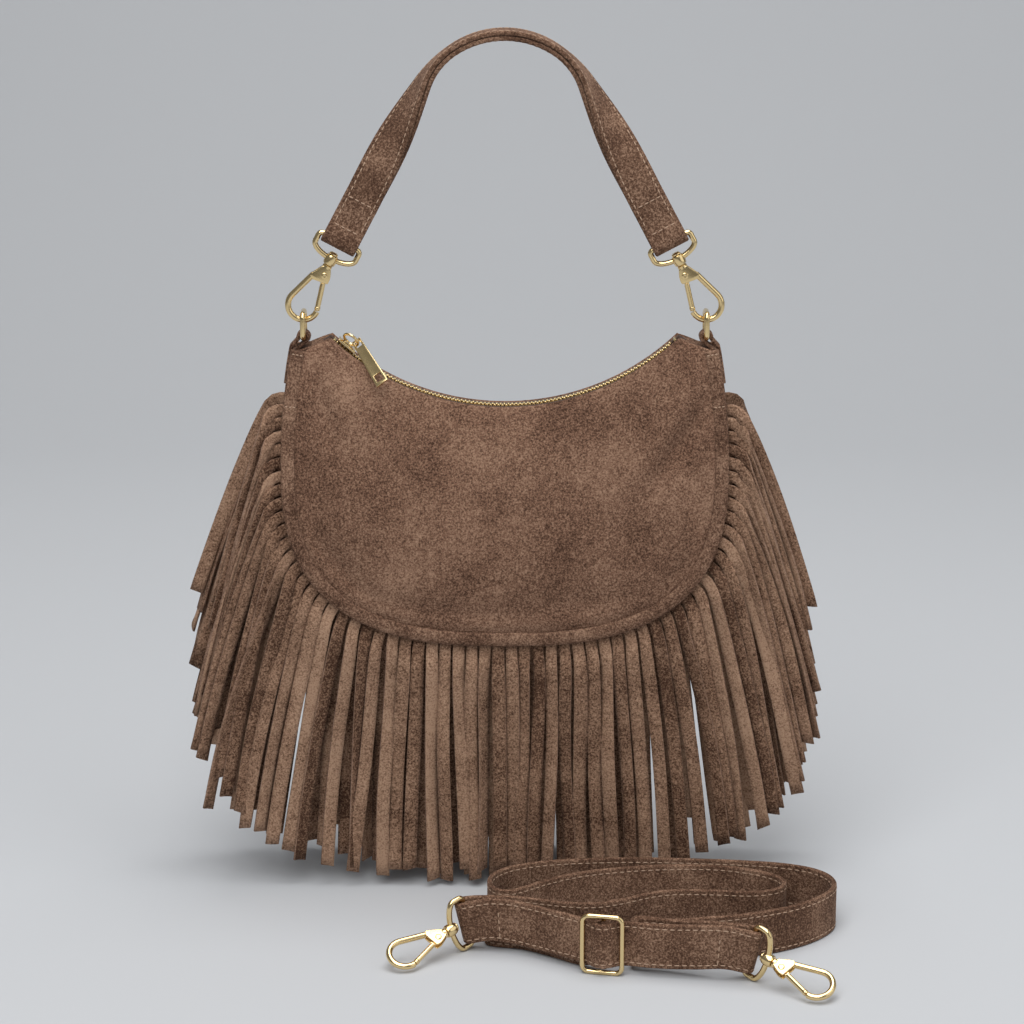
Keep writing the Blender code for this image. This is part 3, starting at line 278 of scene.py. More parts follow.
@dataclass(frozen=True)
class Plating(Finish):
    """Polished pale gold plating, a little duller in spots of about 4 mm from handling."""

    wander_scale: float = 260.0
    wander: float = 0.09

    def dress(self, tree: Any, shader: Any) -> None:
        """A clean metal whose roughness wanders a little.

        Args:
            tree: The material's node tree.
            shader: Its Principled shader.
        """
        spot = add_node(tree, "ShaderNodeTexCoord").outputs["Object"]
        inputs = {"Vector": spot, "Scale": self.wander_scale, "Detail": 3.0}
        spots = add_node(tree, "ShaderNodeTexNoise", inputs).outputs["Fac"]
        inputs = {"Value": spots, "To Min": self.roughness, "To Max": self.roughness + self.wander}
        spread = add_node(tree, "ShaderNodeMapRange", inputs)
        tree.links.new(spread.outputs["Result"], shader.inputs["Roughness"])
        shader.inputs["Base Color"].default_value = linear(self.colour)
        shader.inputs["Metallic"].default_value = 1.0


@dataclass(frozen=True)
class Woven(Finish):
    """Plain weave for the lining and the zip's tape.

    A wave of this scale repeats every 0.314 / scale metres: 413 gives a thread each 0.76 mm,
    twice as coarse as a real tape, so that it shows.
    """

    wave_scale: float = 2600 / 6.3

    def dress(self, tree: Any, shader: Any) -> None:
        """Crossed waves lift the threads above the gaps between them.

        Args:
            tree: The material's node tree.
            shader: Its Principled shader.
        """
        spot = add_node(tree, "ShaderNodeTexCoord").outputs["Object"]
        inputs = {"Vector": spot, "Scale": self.wave_scale, "Distortion": 0.4}
        waves = []
        for direction in ("X", "Z"):
            wave = add_node(tree, "ShaderNodeTexWave", inputs, bands_direction=direction)
            waves.append(wave.outputs["Fac"])
        cross = add_node(tree, "ShaderNodeMath", dict(enumerate(waves)), operation="MULTIPLY")
        inputs = {"Height": cross.outputs[0], "Strength": 0.5, "Distance": 0.2 * MM}
        bump = add_node(tree, "ShaderNodeBump", inputs)
        tree.links.new(bump.outputs["Normal"], shader.inputs["Normal"])
        shader.inputs["Base Color"].default_value = linear(self.colour)
        shader.inputs["Roughness"].default_value = self.roughness


# Brushed cowhide suede of the panels: matt, clouded where the nap was stroked another way.
BODY_SUEDE = Suede("body_suede", "765847", 0.95)
# The same suede rolled over an edge: its stretched nap lies flat and looks darker.
EDGE_SUEDE = Suede("folded_edge_suede", "6E5242", 0.95, patch_scale=60.0)
# Suede slit into strands, each strand with a random tone of its own. Its colour is painted paler than
# the panels' suede and its ramp spread wide, from near-black brown to pale tan: painted highlight on
# the lit strands and painted shade in the gaps between them.
STRAND_SUEDE = Suede(
    "fringe_suede", "856753", 0.95, dark="452F23", light="AC8C74", patch_scale=40.0, shaded=True
)
# Doubled and pressed suede of the handle and strap: close nap, the darkest of them.
STRAP_SUEDE = Suede("strap_suede", "674C3C", 0.95, patch_scale=50.0)
# Knife-cut side of the hide: open fibres that catch the light as a thin pale line.
CUT_SUEDE = Suede("cut_suede_edge", "8A6D5A", 0.98, dark="604738", light="A08370", patch_scale=90.0)
# Spun polyester sewing thread: plain tan, dull, paler than the suede round it.
THREAD = Finish("sewing_thread", "B4977F", 0.75)
# Cast zinc with polished gold plating: pale and warm, with crisp highlights.
GOLD = Plating("pale_gold_plating", "E8CE99", 0.15)
# Stamped and plated brass of the teeth and stops: the same gold, a little duller.
TOOTH_GOLD = Plating("zip_tooth_gold", "E0C690", 0.22)
# Woven polyester zip tape: dark brown and matt, a shadow line beside the teeth.
TAPE_CLOTH = Woven("zip_tape_cloth", "4A382E", 0.9)
# Woven cotton lining, with a thread each 1.1 mm: nearly black inside the bag.
LINING_CLOTH = Woven("lining_cloth", "3A302B", 0.85, wave_scale=1800 / 6.3)
# Matt grey backdrop paper: plain, so that only the bag's shadow falls on it.
PAPER = Finish("grey_paper", "BCBEC1", 0.9)


# Mesh helpers


@dataclass
class Mesher:
    """Turns bmesh work into finished objects that ride on a CAD body."""

    smooth_angle: float = math.radians(38)

    def place(
        self,
        name: str,
        bm: bmesh.types.BMesh,
        finishes: Sequence[Finish],
        body: str,
        slot: str,
        nodes: Sequence[str] = (),
    ) -> bpy.types.Object:
        """Make an object at the origin from a bmesh and tie it to the frame.

        Args:
            name: Name of the piece.
            bm: Its mesh, in the row's frame. It is freed.
            finishes: Materials by index.
            body: CAD body that the piece moves with.
            slot: Material slot named in the record; not used.
            nodes: CAD nodes that the piece stands for.

        Returns:
            The linked object.
        """
        bm.transform(Matrix.Translation(STAND))
        bmesh.ops.recalc_face_normals(bm, faces=bm.faces)
        for edge in bm.edges:
            edge.smooth = edge.calc_face_angle(0.0) < self.smooth_angle
        for one in bm.faces:
            one.smooth = True
        made = self.link(name, bm, finishes)
        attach(made, body)
        if nodes:
            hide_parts(*nodes)
        LOG.info("%s: %d faces, rides on %s", name, len(made.data.polygons), body)
        return made

    @staticmethod
    def link(name: str, bm: bmesh.types.BMesh, finishes: Sequence[Finish]) -> bpy.types.Object:
        """Make an object of a bmesh, which is freed, and link it to the scene.

        Args:
            name: Name of the object and its mesh.
            bm: Its mesh.
            finishes: Materials by index.

        Returns:
            The linked object.
        """
        mesh = bpy.data.meshes.new(name)
        bm.to_mesh(mesh)
        bm.free()
        for one in finishes:
            mesh.materials.append(one.material())
        made = bpy.data.objects.new(name, mesh)
        bpy.context.scene.collection.objects.link(made)
        return made

    def metal(
        self, node: str, bm: bmesh.types.BMesh, body: str, finish: Finish = GOLD, name: str = ""
    ) -> None:
        """Place a metal piece that stands for one node.

        Args:
            node: The CAD node.
            bm: Mesh of the piece. It is freed.
            body: CAD body that it moves with.
            finish: Its plating.
            name: Start of its name, where that isn't the node's.
        """
        self.place(f"{name or node}_metal", bm, [finish], body, "gold_metal", [node])

    def suede(
        self, node: str, bm: bmesh.types.BMesh, finishes: Sequence[Finish], slot: str, body: str = "bag"
    ) -> bpy.types.Object:
        """Place a suede piece that stands for one node.

        Args:
            node: The CAD node.
            bm: Mesh of the piece. It is freed.
            finishes: Materials by index.
            slot: Material slot named in the record; not used.
            body: CAD body that it moves with.

        Returns:
            The linked object.
        """
        return self.place(f"{node}_suede", bm, finishes, body, slot, [node])

    @staticmethod
    def grid(
        rows: Sequence[Sequence[Vector]],
        kept: Optional[Callable[[int, int], bool]] = None,
        shades: Optional[Sequence[float]] = None,
    ) -> bmesh.types.BMesh:
        """A grid moved onto rows of points.

        Args:
            rows: Points by row and column.
            kept: Says which cells stay, from their column and row.
            shades: A brightness offset for each column.

        Returns:
            The grid's bmesh.
        """
        tall, wide = len(rows), len(rows[0])
        bm = bmesh.new()
        bmesh.ops.create_grid(bm, x_segments=wide - 1, y_segments=tall - 1, size=1)
        layer = bm.verts.layers.float.new("shade")
        cells = {}
        for vert in bm.verts:
            column = round((vert.co.x + 1) / 2 * (wide - 1))
            row = round((vert.co.y + 1) / 2 * (tall - 1))
            cells[vert] = (column, row)
        if kept:
            gone = []
            for one in bm.faces:
                column = min(cells[vert][0] for vert in one.verts)
                row = min(cells[vert][1] for vert in one.verts)
                if not kept(column, row):
                    gone.append(one)
            bmesh.ops.delete(bm, geom=gone, context="FACES")
        for vert in bm.verts:
            column, row = cells[vert]
            vert.co = rows[row][column]
            if shades:
                vert[layer] = shades[column]
        return bm

    @classmethod
    def loft(cls, rings: Sequence[Sequence[Vector]], closed: bool = False) -> bmesh.types.BMesh:
        """A skin through closed rings of points.

        Args:
            rings: Rings with the same number of points each.
            closed: Whether the last ring joins the first. If not, both ends are capped.

        Returns:
            The skin's bmesh.
        """
        rows = [list(ring) + [ring[0]] for ring in rings]
        if closed:
            rows.append(rows[0])
        bm = cls.grid(rows)
        bmesh.ops.remove_doubles(bm, verts=bm.verts, dist=1e-8)
        if not closed:
            bmesh.ops.holes_fill(bm, edges=bm.edges, sides=0)
        return bm

    @classmethod
    def tube(
        cls, points: Sequence[Vector], radius: float, closed: bool = False, sides: int = 14
    ) -> bmesh.types.BMesh:
        """A round wire through points, its circle carried along without twisting.

        Args:
            points: Middle line of the wire.
            radius: Radius of the wire.
            closed: Whether the wire joins its own start.
            sides: Points round the wire.

        Returns:
            The wire's bmesh.
        """
        count = len(points)
        tangents = []
        for index in range(count):
            after = points[(index + 1) % count] if closed else points[min(index + 1, count - 1)]
            before = points[index - 1] if closed else points[max(index - 1, 0)]
            tangents.append((after - before).normalized())
        start = UP if abs(tangents[0].z) < 0.8 else DEEP
        across = tangents[0].cross(start).normalized()
        circle = arc_points(radius, 0, 360, sides)[:-1]
        rings = []
        for point, tangent in zip(points, tangents):
            across = (across - tangent * across.dot(tangent)).normalized()
            other = tangent.cross(across)
            rings.append([point + across * a + other * b for a, b in circle])
        return cls.loft(rings, closed)

    @staticmethod
    def spun(profile: Sequence[Pair], steps: int = 28) -> bmesh.types.BMesh:
        """A solid turned about Z.

        Args:
            profile: Radius and height of each point.
            steps: Steps round the turn.

        Returns:
            The solid's bmesh.
        """
        bm = bmesh.new()
        verts = [bm.verts.new((radius, 0, height)) for radius, height in profile]
        edges = [bm.edges.new(pair) for pair in zip(verts, verts[1:])]
        bmesh.ops.spin(
            bm, geom=verts + edges, cent=(0, 0, 0), axis=UP, angle=math.tau, steps=steps, use_merge=True
        )
        bmesh.ops.remove_doubles(bm, verts=bm.verts, dist=1e-7)
        return bm

    @staticmethod
    def plate(loops: Sequence[Sequence[Pair]], thickness: float, round_off: float) -> bmesh.types.BMesh:
        """A flat plate with rounded rims, in its own XY plane.

        Args:
            loops: The outline, and then the outlines of any holes.
            thickness: Thickness of the plate.
            round_off: Radius of its rims.

        Returns:
            The plate's bmesh.
        """
        curve = bpy.data.curves.new("plate_outline", "CURVE")
        curve.dimensions = "2D"
        curve.fill_mode = "BOTH"
        curve.extrude = thickness / 2 - round_off
        curve.bevel_depth = round_off
        curve.bevel_resolution = 2
        curve.offset = -round_off
        for loop in loops:
            spline = curve.splines.new("POLY")
            spline.points.add(len(loop) - 1)
            for point, (x, y) in zip(spline.points, loop):
                point.co = (x, y, 0.0, 1.0)
            spline.use_cyclic_u = True
        holder = bpy.data.objects.new("plate_outline", curve)
        mesh = bpy.data.meshes.new_from_object(holder)
        bm = bmesh.new()
        bm.from_mesh(mesh)
        bmesh.ops.remove_doubles(bm, verts=bm.verts, dist=1e-7)
        bpy.data.objects.remove(holder)
        bpy.data.meshes.remove(mesh)
        return bm

    @staticmethod
    def block(size: Sequence[float], bevel: float, segments: int = 2) -> bmesh.types.BMesh:
        """A block about the origin with rounded edges.

        Args:
            size: Its three sides.
            bevel: Width of the rounding.
            segments: Steps of the rounding.

        Returns:
            The block's bmesh.
        """
        bm = bmesh.new()
        bmesh.ops.create_cube(bm, size=1.0)
        bmesh.ops.scale(bm, vec=size, verts=bm.verts)
        edges = list(bm.edges)
        bmesh.ops.bevel(
            bm, geom=edges, offset=bevel, segments=segments, profile=0.5, affect="EDGES", material=-1
        )
        return bm

    @staticmethod
    def join(parts: Sequence[tuple[bmesh.types.BMesh, Matrix]]) -> bmesh.types.BMesh:
        """Put several meshes into one, with fresh normals, and free them.

        Args:
            parts: Meshes, each with the matrix that moves it.

        Returns:
            The joined bmesh.
        """
        whole = bmesh.new()
        for bm, matrix in parts:
            bm.transform(matrix)
            spare = bpy.data.meshes.new("spare")
            bm.to_mesh(spare)
            bm.free()
            whole.from_mesh(spare)
            bpy.data.meshes.remove(spare)
        return whole

    @staticmethod
    def thicken(made: bpy.types.Object, thickness: float, rim: int = 0, soften: float = 0.0) -> None:
        """Give a sheet thickness about its middle.

        Args:
            made: The sheet.
            thickness: Its thickness.
            rim: How many materials further on its rim is dressed.
            soften: Width of a bevel on its sharp edges, or 0 for none.
        """
        solid = made.modifiers.new("thickness", "SOLIDIFY")
        solid.thickness = thickness
        solid.offset = 0.0
        solid.material_offset_rim = rim
        if soften:
            edge = made.modifiers.new("soft_edges", "BEVEL")
            edge.width = soften
            edge.segments = 2
            edge.limit_method = "ANGLE"
            edge.angle_limit = math.radians(50)


MESHER = Mesher()


@dataclass
class Stitching:
    """Runs of thread sunk into suede, gathered into one piece."""

    pitch: float = 3.5 * MM
    length: float = 2.5 * MM
    radius: float = 0.34 * MM
    parts: list[tuple[bmesh.types.BMesh, Matrix]] = field(default_factory=list)

    def one(self, start: Vector, end: Vector, normal: Vector) -> None:
        """Add one stitch, a bead of thread drawn down at both ends.

        Args:
            start: Where the thread comes out.
            end: Where it goes in.
            normal: The way that the suede faces.
        """
        bm = bmesh.new()
        bmesh.ops.create_uvsphere(bm, u_segments=6, v_segments=5, radius=1.0)
        along = (end - start).normalized()
        across = along.cross(normal).normalized()
        up = across.cross(along)
        turn = Matrix((across, up, along)).transposed().to_4x4()
        scale = Matrix.Diagonal((self.radius, self.radius * 0.8, (end - start).length / 2, 1))
        self.parts.append((bm, Matrix.Translation((start + end) / 2) @ turn @ scale))

    def run(self, path: Sequence[Station]) -> None:
        """Stitch along a path at an even pitch.

        Args:
            path: Points on the suede, each with the way that it faces there.
        """
        reach = reaches([point for point, _ in path])
        count = max(1, int(reach[-1] / self.pitch))
        index = 0
        for step in range(count):
            ends = []
            for length in (step * self.pitch, step * self.pitch + self.length):
                while index < len(reach) - 2 and reach[index + 1] < length:
                    index += 1
                span = max(1e-9, reach[index + 1] - reach[index])
                part = min(1.0, (length - reach[index]) / span)
                point = path[index][0].lerp(path[index + 1][0], part)
                normal = path[index][1].lerp(path[index + 1][1], part)
                ends.append((point, normal))
            self.one(ends[0][0], ends[1][0], ends[0][1])

    def place(self, name: str, body: str, slot: str) -> None:
        """Finish the gathered stitches as one piece."""
        MESHER.place(name, MESHER.join(self.parts), [THREAD], body, slot)


# The body's outline


class Outline:
    """The seam round the bag's body and the zip's arc, as in the CAD part."""

    half_width = 0.119
    widest = 0.235
    low = 0.1375
    power = 2.65
    corner_x = 0.113
    corner_z = 0.296
    zip_radius = 0.132
    zip_low = 0.2646
    zip_angle = math.radians(44)
    gusset_top = 0.011
    gusset_low = 0.028
    lip = 0.007
    fringe_top = 0.268

    def __init__(self) -> None:
        """Measure half of the seam, from the bottom middle to the corner."""
        self.points: list[tuple[float, float]] = []
        for step in range(181):
            turn = math.radians(step / 2)
            x = self.half_width * math.sin(turn) ** (2 / self.power)
            drop = (self.widest - self.low) * max(0.0, math.cos(turn)) ** (2 / self.power)
            self.points.append((x, self.widest - drop))
        for step in range(1, 41):
            part = step / 40
            x = self.half_width - (self.half_width - self.corner_x) * part * part
            self.points.append((x, self.widest + (self.corner_z - self.widest) * part))
        self.reach = reaches(self.points)
        self.half_length = self.reach[-1]
        self.fringe_run = self.up_to(self.fringe_top)
        self.centre_z = self.zip_low + self.zip_radius

    def up_to(self, height: float) -> float:
        """Length along the seam from the bottom middle up to a height."""
        return next(reach for point, reach in zip(self.points, self.reach) if point[1] >= height)

    def at(self, length: float) -> Pair:
        """A point of the seam's right half.

        Args:
            length: Length from the bottom middle.

        Returns:
            Its x and z.
        """
        length = min(max(length, 0.0), self.half_length)
        low, high = 0, len(self.reach) - 1
        while high - low > 1:
            middle = (low + high) // 2
            low, high = (middle, high) if self.reach[middle] <= length else (low, middle)
        part = (length - self.reach[low]) / (self.reach[high] - self.reach[low])
        first, second = self.points[low], self.points[high]
        return first[0] + (second[0] - first[0]) * part, first[1] + (second[1] - first[1]) * part

    def seam(self, length: float) -> tuple[Vector, Vector, Vector]:
        """A place on the whole seam.

        Args:
            length: Length from the bottom middle, negative on the left.

        Returns:
            The point, the tangent and the outward normal.
        """
        side = -1 if length < 0 else 1
        size = abs(length)
        x, z = self.at(size)
        before, after = self.at(size - 0.002), self.at(size + 0.002)
        if size < 0.002:
            before = (-after[0], after[1])
        tangent = Vector((after[0] - before[0], 0, after[1] - before[1])).normalized()
        normal = Vector((side * tangent.z, 0, -tangent.x))
        return Vector((side * x, 0, z)), Vector((tangent.x, 0, side * tangent.z)), normal

    def depth(self, z: float) -> float:
        """Half the bag's depth on the seam.

        Args:
            z: Height on the seam.

        Returns:
            Distance from the bag's middle plane to the seam.
        """
        part = (self.corner_z - z) / (self.corner_z - self.low)
        rise = math.sin(math.pi / 2 * min(1.0, max(0.0, part)))
        return self.gusset_top + (self.gusset_low - self.gusset_top) * rise

    def arc(self, angle: float, radius: float, y: float) -> Vector:
        """A point at an angle from straight down about the zip's centre."""
        return Vector((math.sin(angle) * radius, y, self.centre_z - math.cos(angle) * radius))

    def panel(self, u: float, v: float, inset: float, puff: float) -> tuple[Vector, float]:
        """A place on a panel.

        Args:
            u: 0 at the left end, 1 at the right end.
            v: 0 at the lip, 1 at the seam.
            inset: How far the panel stops short of the seam.
            puff: How far its middle stands out.

        Returns:
            The point in the XZ plane, and its half depth.
        """
        lip = self.arc(self.zip_angle * (2 * u - 1), self.zip_radius + 1 * MM, 0)
        low, _, normal = self.seam((2 * u - 1) * self.half_length)
        seam_depth = self.depth(low.z)
        point = lip.lerp(low - normal * inset, v)
        bulge = math.sin(math.pi * v) ** 0.8 * max(0.0, math.sin(math.pi * u)) ** 0.5
        return point, self.lip + (seam_depth - self.lip) * v + puff * bulge


OUTLINE = Outline()


# Suede body


@dataclass(frozen=True)
class Crease:
    """A soft dent or ridge in a panel, long one way and narrow the other."""

    x: float
    z: float
    turn: float
    long: float
    narrow: float
    depth: float

    def at(self, x: float, z: float) -> float:
        """How far the crease moves the panel.

        Args:
            x: Place across the panel.
            z: Height on the panel.

        Returns:
            The move outwards.
        """
        dx, dz = x - self.x, z - self.z
        turn = math.radians(self.turn)
        along = dx * math.cos(turn) + dz * math.sin(turn)
        across = -dx * math.sin(turn) + dz * math.cos(turn)
        return 2.5 * self.depth * math.exp(-((along / self.long) ** 2) - (across / self.narrow) ** 2)


@dataclass
class SuedeBody:
    """Panels, bound edges, gusset, lining and the ring tabs."""

    columns: int = 150
    rows: int = 70
    creases: tuple[Crease, ...] = (
        Crease(0.094, 0.247, 58, 0.026, 0.0055, -1.5 * MM),
        Crease(0.083, 0.252, 62, 0.024, 0.0060, 1.2 * MM),
        Crease(0.103, 0.214, 96, 0.030, 0.0060, -1.1 * MM),
        Crease(0.098, 0.178, 44, 0.020, 0.0070, -1.4 * MM),
        Crease(-0.095, 0.262, 105, 0.022, 0.0060, -1.3 * MM),
        Crease(-0.101, 0.225, 88, 0.032, 0.0065, -0.9 * MM),
        Crease(-0.088, 0.180, 130, 0.024, 0.0080, -1.1 * MM),
        Crease(-0.040, 0.158, 172, 0.040, 0.0070, -0.6 * MM),
        Crease(0.030, 0.160, 6, 0.045, 0.0080, -0.6 * MM),
    )

    def build(self) -> None:
        """Build every sewn piece of the body."""
        self.panels()
        self.bindings()
        self.gusset()
        self.lining()
        self.tabs()

    def panels(self) -> None:
        """Front and back panels, puffed and softly creased, with a groove beside the binding."""
        for name, face, mirror in (("front_panel", Face.FRONT, 1), ("back_panel", Face.BACK, -1)):
            rows = []
            for row in range(self.rows + 1):
                v = row / self.rows
                points = []
                for column in range(self.columns + 1):
                    u = column / self.columns
                    point, depth = OUTLINE.panel(u, v, 6.6 * MM, 8 * MM)
                    fade = smoothstep(v / 0.12) * smoothstep((1 - v) / 0.08)
                    for crease in self.creases:
                        depth += crease.at(point.x * mirror, point.z) * fade
                    swell = noise.noise(Vector((point.x * 26, mirror * 3.0, point.z * 26)))
                    depth += swell * 0.9 * MM * fade
                    depth -= 1.3 * MM * smoothstep((v - 0.95) / 0.05)
                    depth -= 0.5 * MM * smoothstep((0.03 - v) / 0.03)
                    points.append(Vector((point.x, face.value * depth, point.z)))
                rows.append(points)
            made = MESHER.suede(name, MESHER.grid(rows), [BODY_SUEDE], "suede")
            MESHER.thicken(made, 2 * MM, soften=0.7 * MM)

    def bindings(self) -> None:
        """The rolled edge: a full bead that wavers slightly where it was pulled round the curve."""
        width, back, count = 7.5 * MM, 2.0 * MM, 260
        stitches = Stitching()
        for name, face in (("binding_front", Face.FRONT), ("binding_back", Face.BACK)):
            rings = []
            for index in range(count + 1):
                length = OUTLINE.half_length * (2 * index / count - 1)
                point, _, normal = OUTLINE.seam(length)
                waver = noise.noise(Vector((length * 90, face.value * 5.0, 0)))
                crest = 2.3 * MM + 0.25 * MM * waver
                centre = point - normal * (width / 2)
                centre.y = face.value * OUTLINE.depth(point.z)
                ring = []
                for a, b in arc_points(1.0, 0, 180, 12):
                    across = a * width / 2
                    lift = crest * b**0.62
                    lift -= 0.35 * MM * math.exp(-(((across + 1.9 * MM) / (0.45 * MM)) ** 2))
                    ring.append(centre + normal * across + DEEP * (face.value * lift))
                ring.append(centre - normal * (width / 2) - DEEP * (face.value * back))
                ring.append(centre + normal * (width / 2) - DEEP * (face.value * back))
                rings.append(ring)
            MESHER.suede(name, MESHER.loft(rings), [EDGE_SUEDE], "suede_edge")
            for side in Side:
                for height in (0.2935, 0.2665):
                    self.cross_row(stitches, side, face, height)
        stitches.place("binding_stitches", "bag", "suede_edge")

    @staticmethod
    def cross_row(stitches: Stitching, side: Side, face: Face, height: float) -> None:
        """A short level row of stitches across the binding, where the ring tab is sewn in.

        Args:
            stitches: Gathers the stitches.
            side: Left or right binding.
            face: Front or back binding.
            height: Height of the row.
        """
        point, _, normal = OUTLINE.seam(side.value * OUTLINE.up_to(height))
        y = face.value * (OUTLINE.depth(point.z) + 2.25 * MM)
        for step in range(3):
            start = point - normal * ((1.0 + 2.1 * step) * MM)
            end = start - normal * (1.5 * MM)
            start.y = end.y = y
            stitches.one(start, end, Vector((0, face.value, 0)))

    def gusset(self) -> None:
        """The side and bottom strip, turned in over each corner up to the zip's end."""
        rows = []
        for step in range(9):
            part = step / 8
            row = [self.corner_turn(Side.LEFT, turn / 8, part) for turn in range(8, 0, -1)]
            for index in range(161):
                length = (OUTLINE.half_length - 4 * MM) * (2 * index / 160 - 1)
                point, _, normal = OUTLINE.seam(length)
                deep = OUTLINE.depth(point.z)
                sink = 1 * MM + 0.6 * MM * math.sin(math.pi * part)
                place = point - normal * sink
                place.y = (-deep + 5.5 * MM) * (1 - part) + (deep - 3.6 * MM) * part
                row.append(place)
            row += [self.corner_turn(Side.RIGHT, turn / 8, part) for turn in range(1, 9)]
            rows.append(row)
        made = MESHER.suede("gusset", MESHER.grid(rows), [EDGE_SUEDE], "suede")
        MESHER.thicken(made, 2 * MM)

    @staticmethod
    def corner_turn(side: Side, along: float, part: float) -> Vector:
        """A point of the gusset's turned-in end, along the panels' top corner edges.

        Args:
            side: Which corner.
            along: 0 at the seam's corner, 1 at the zip's end.
            part: 0 at the front panel, 1 at the back panel.

        Returns:
            The point.
        """
        point, depth = OUTLINE.panel(0.5 + side.value * 0.5, 1 - along, 2.0 * MM, 0.0)
        sink = 1.6 * MM + 1.2 * MM * math.sin(math.pi * part)
        return Vector((point.x, (depth - 1.6 * MM) * (2 * part - 1), point.z - sink))

    def lining(self) -> None:
        """Dark cloth inside, down the front, under and up the back."""
        rows = []
        for face, order in ((Face.FRONT, range(25)), (Face.BACK, range(24, -1, -1))):
            for row in order:
                points = []
                slack = 2.0 * MM + 3.2 * MM * math.sin(math.pi * row / 24)
                for column in range(61):
                    point, depth = OUTLINE.panel(column / 60, row / 24, 9.2 * MM, 6 * MM)
                    points.append(Vector((point.x, face.value * (depth - slack), point.z)))
                rows.append(points)
        bm = MESHER.grid(rows)
        made = MESHER.place("lining_sheet", bm, [LINING_CLOTH], "bag", "lining_cloth", ["lining"])
        MESHER.thicken(made, 0.8 * MM)

    def tabs(self) -> None:
        """Folded suede loops that hold the rings."""
        bend = 2.8 * MM
        for side in Side:
            bar = Vector((side.value * RING_X, 0, RING_Z - RING_HALF))
            outer, inner = [], []
            for step in range(8):
                reach = OUTLINE.up_to(0.276 + step * 0.0028)
                point, _, normal = OUTLINE.seam(side.value * reach)
                outer.append(point + normal * (0.5 * MM))
                inner.append(point - normal * (3.3 * MM))
            turns = arc_points(bend, 195, -210, 14)
            arch = [bar + Vector((-side.value * a, 0, b)) for a, b in turns]
            path = [(point, DEEP) for point in outer + arch + inner[::-1]]
            strip = MESHER.loft(Band.rings(path, 7.2 * MM, 2 * MM))
            MESHER.suede(f"tab_{side.name.lower()}", strip, [EDGE_SUEDE], "suede_edge")


# Fringe


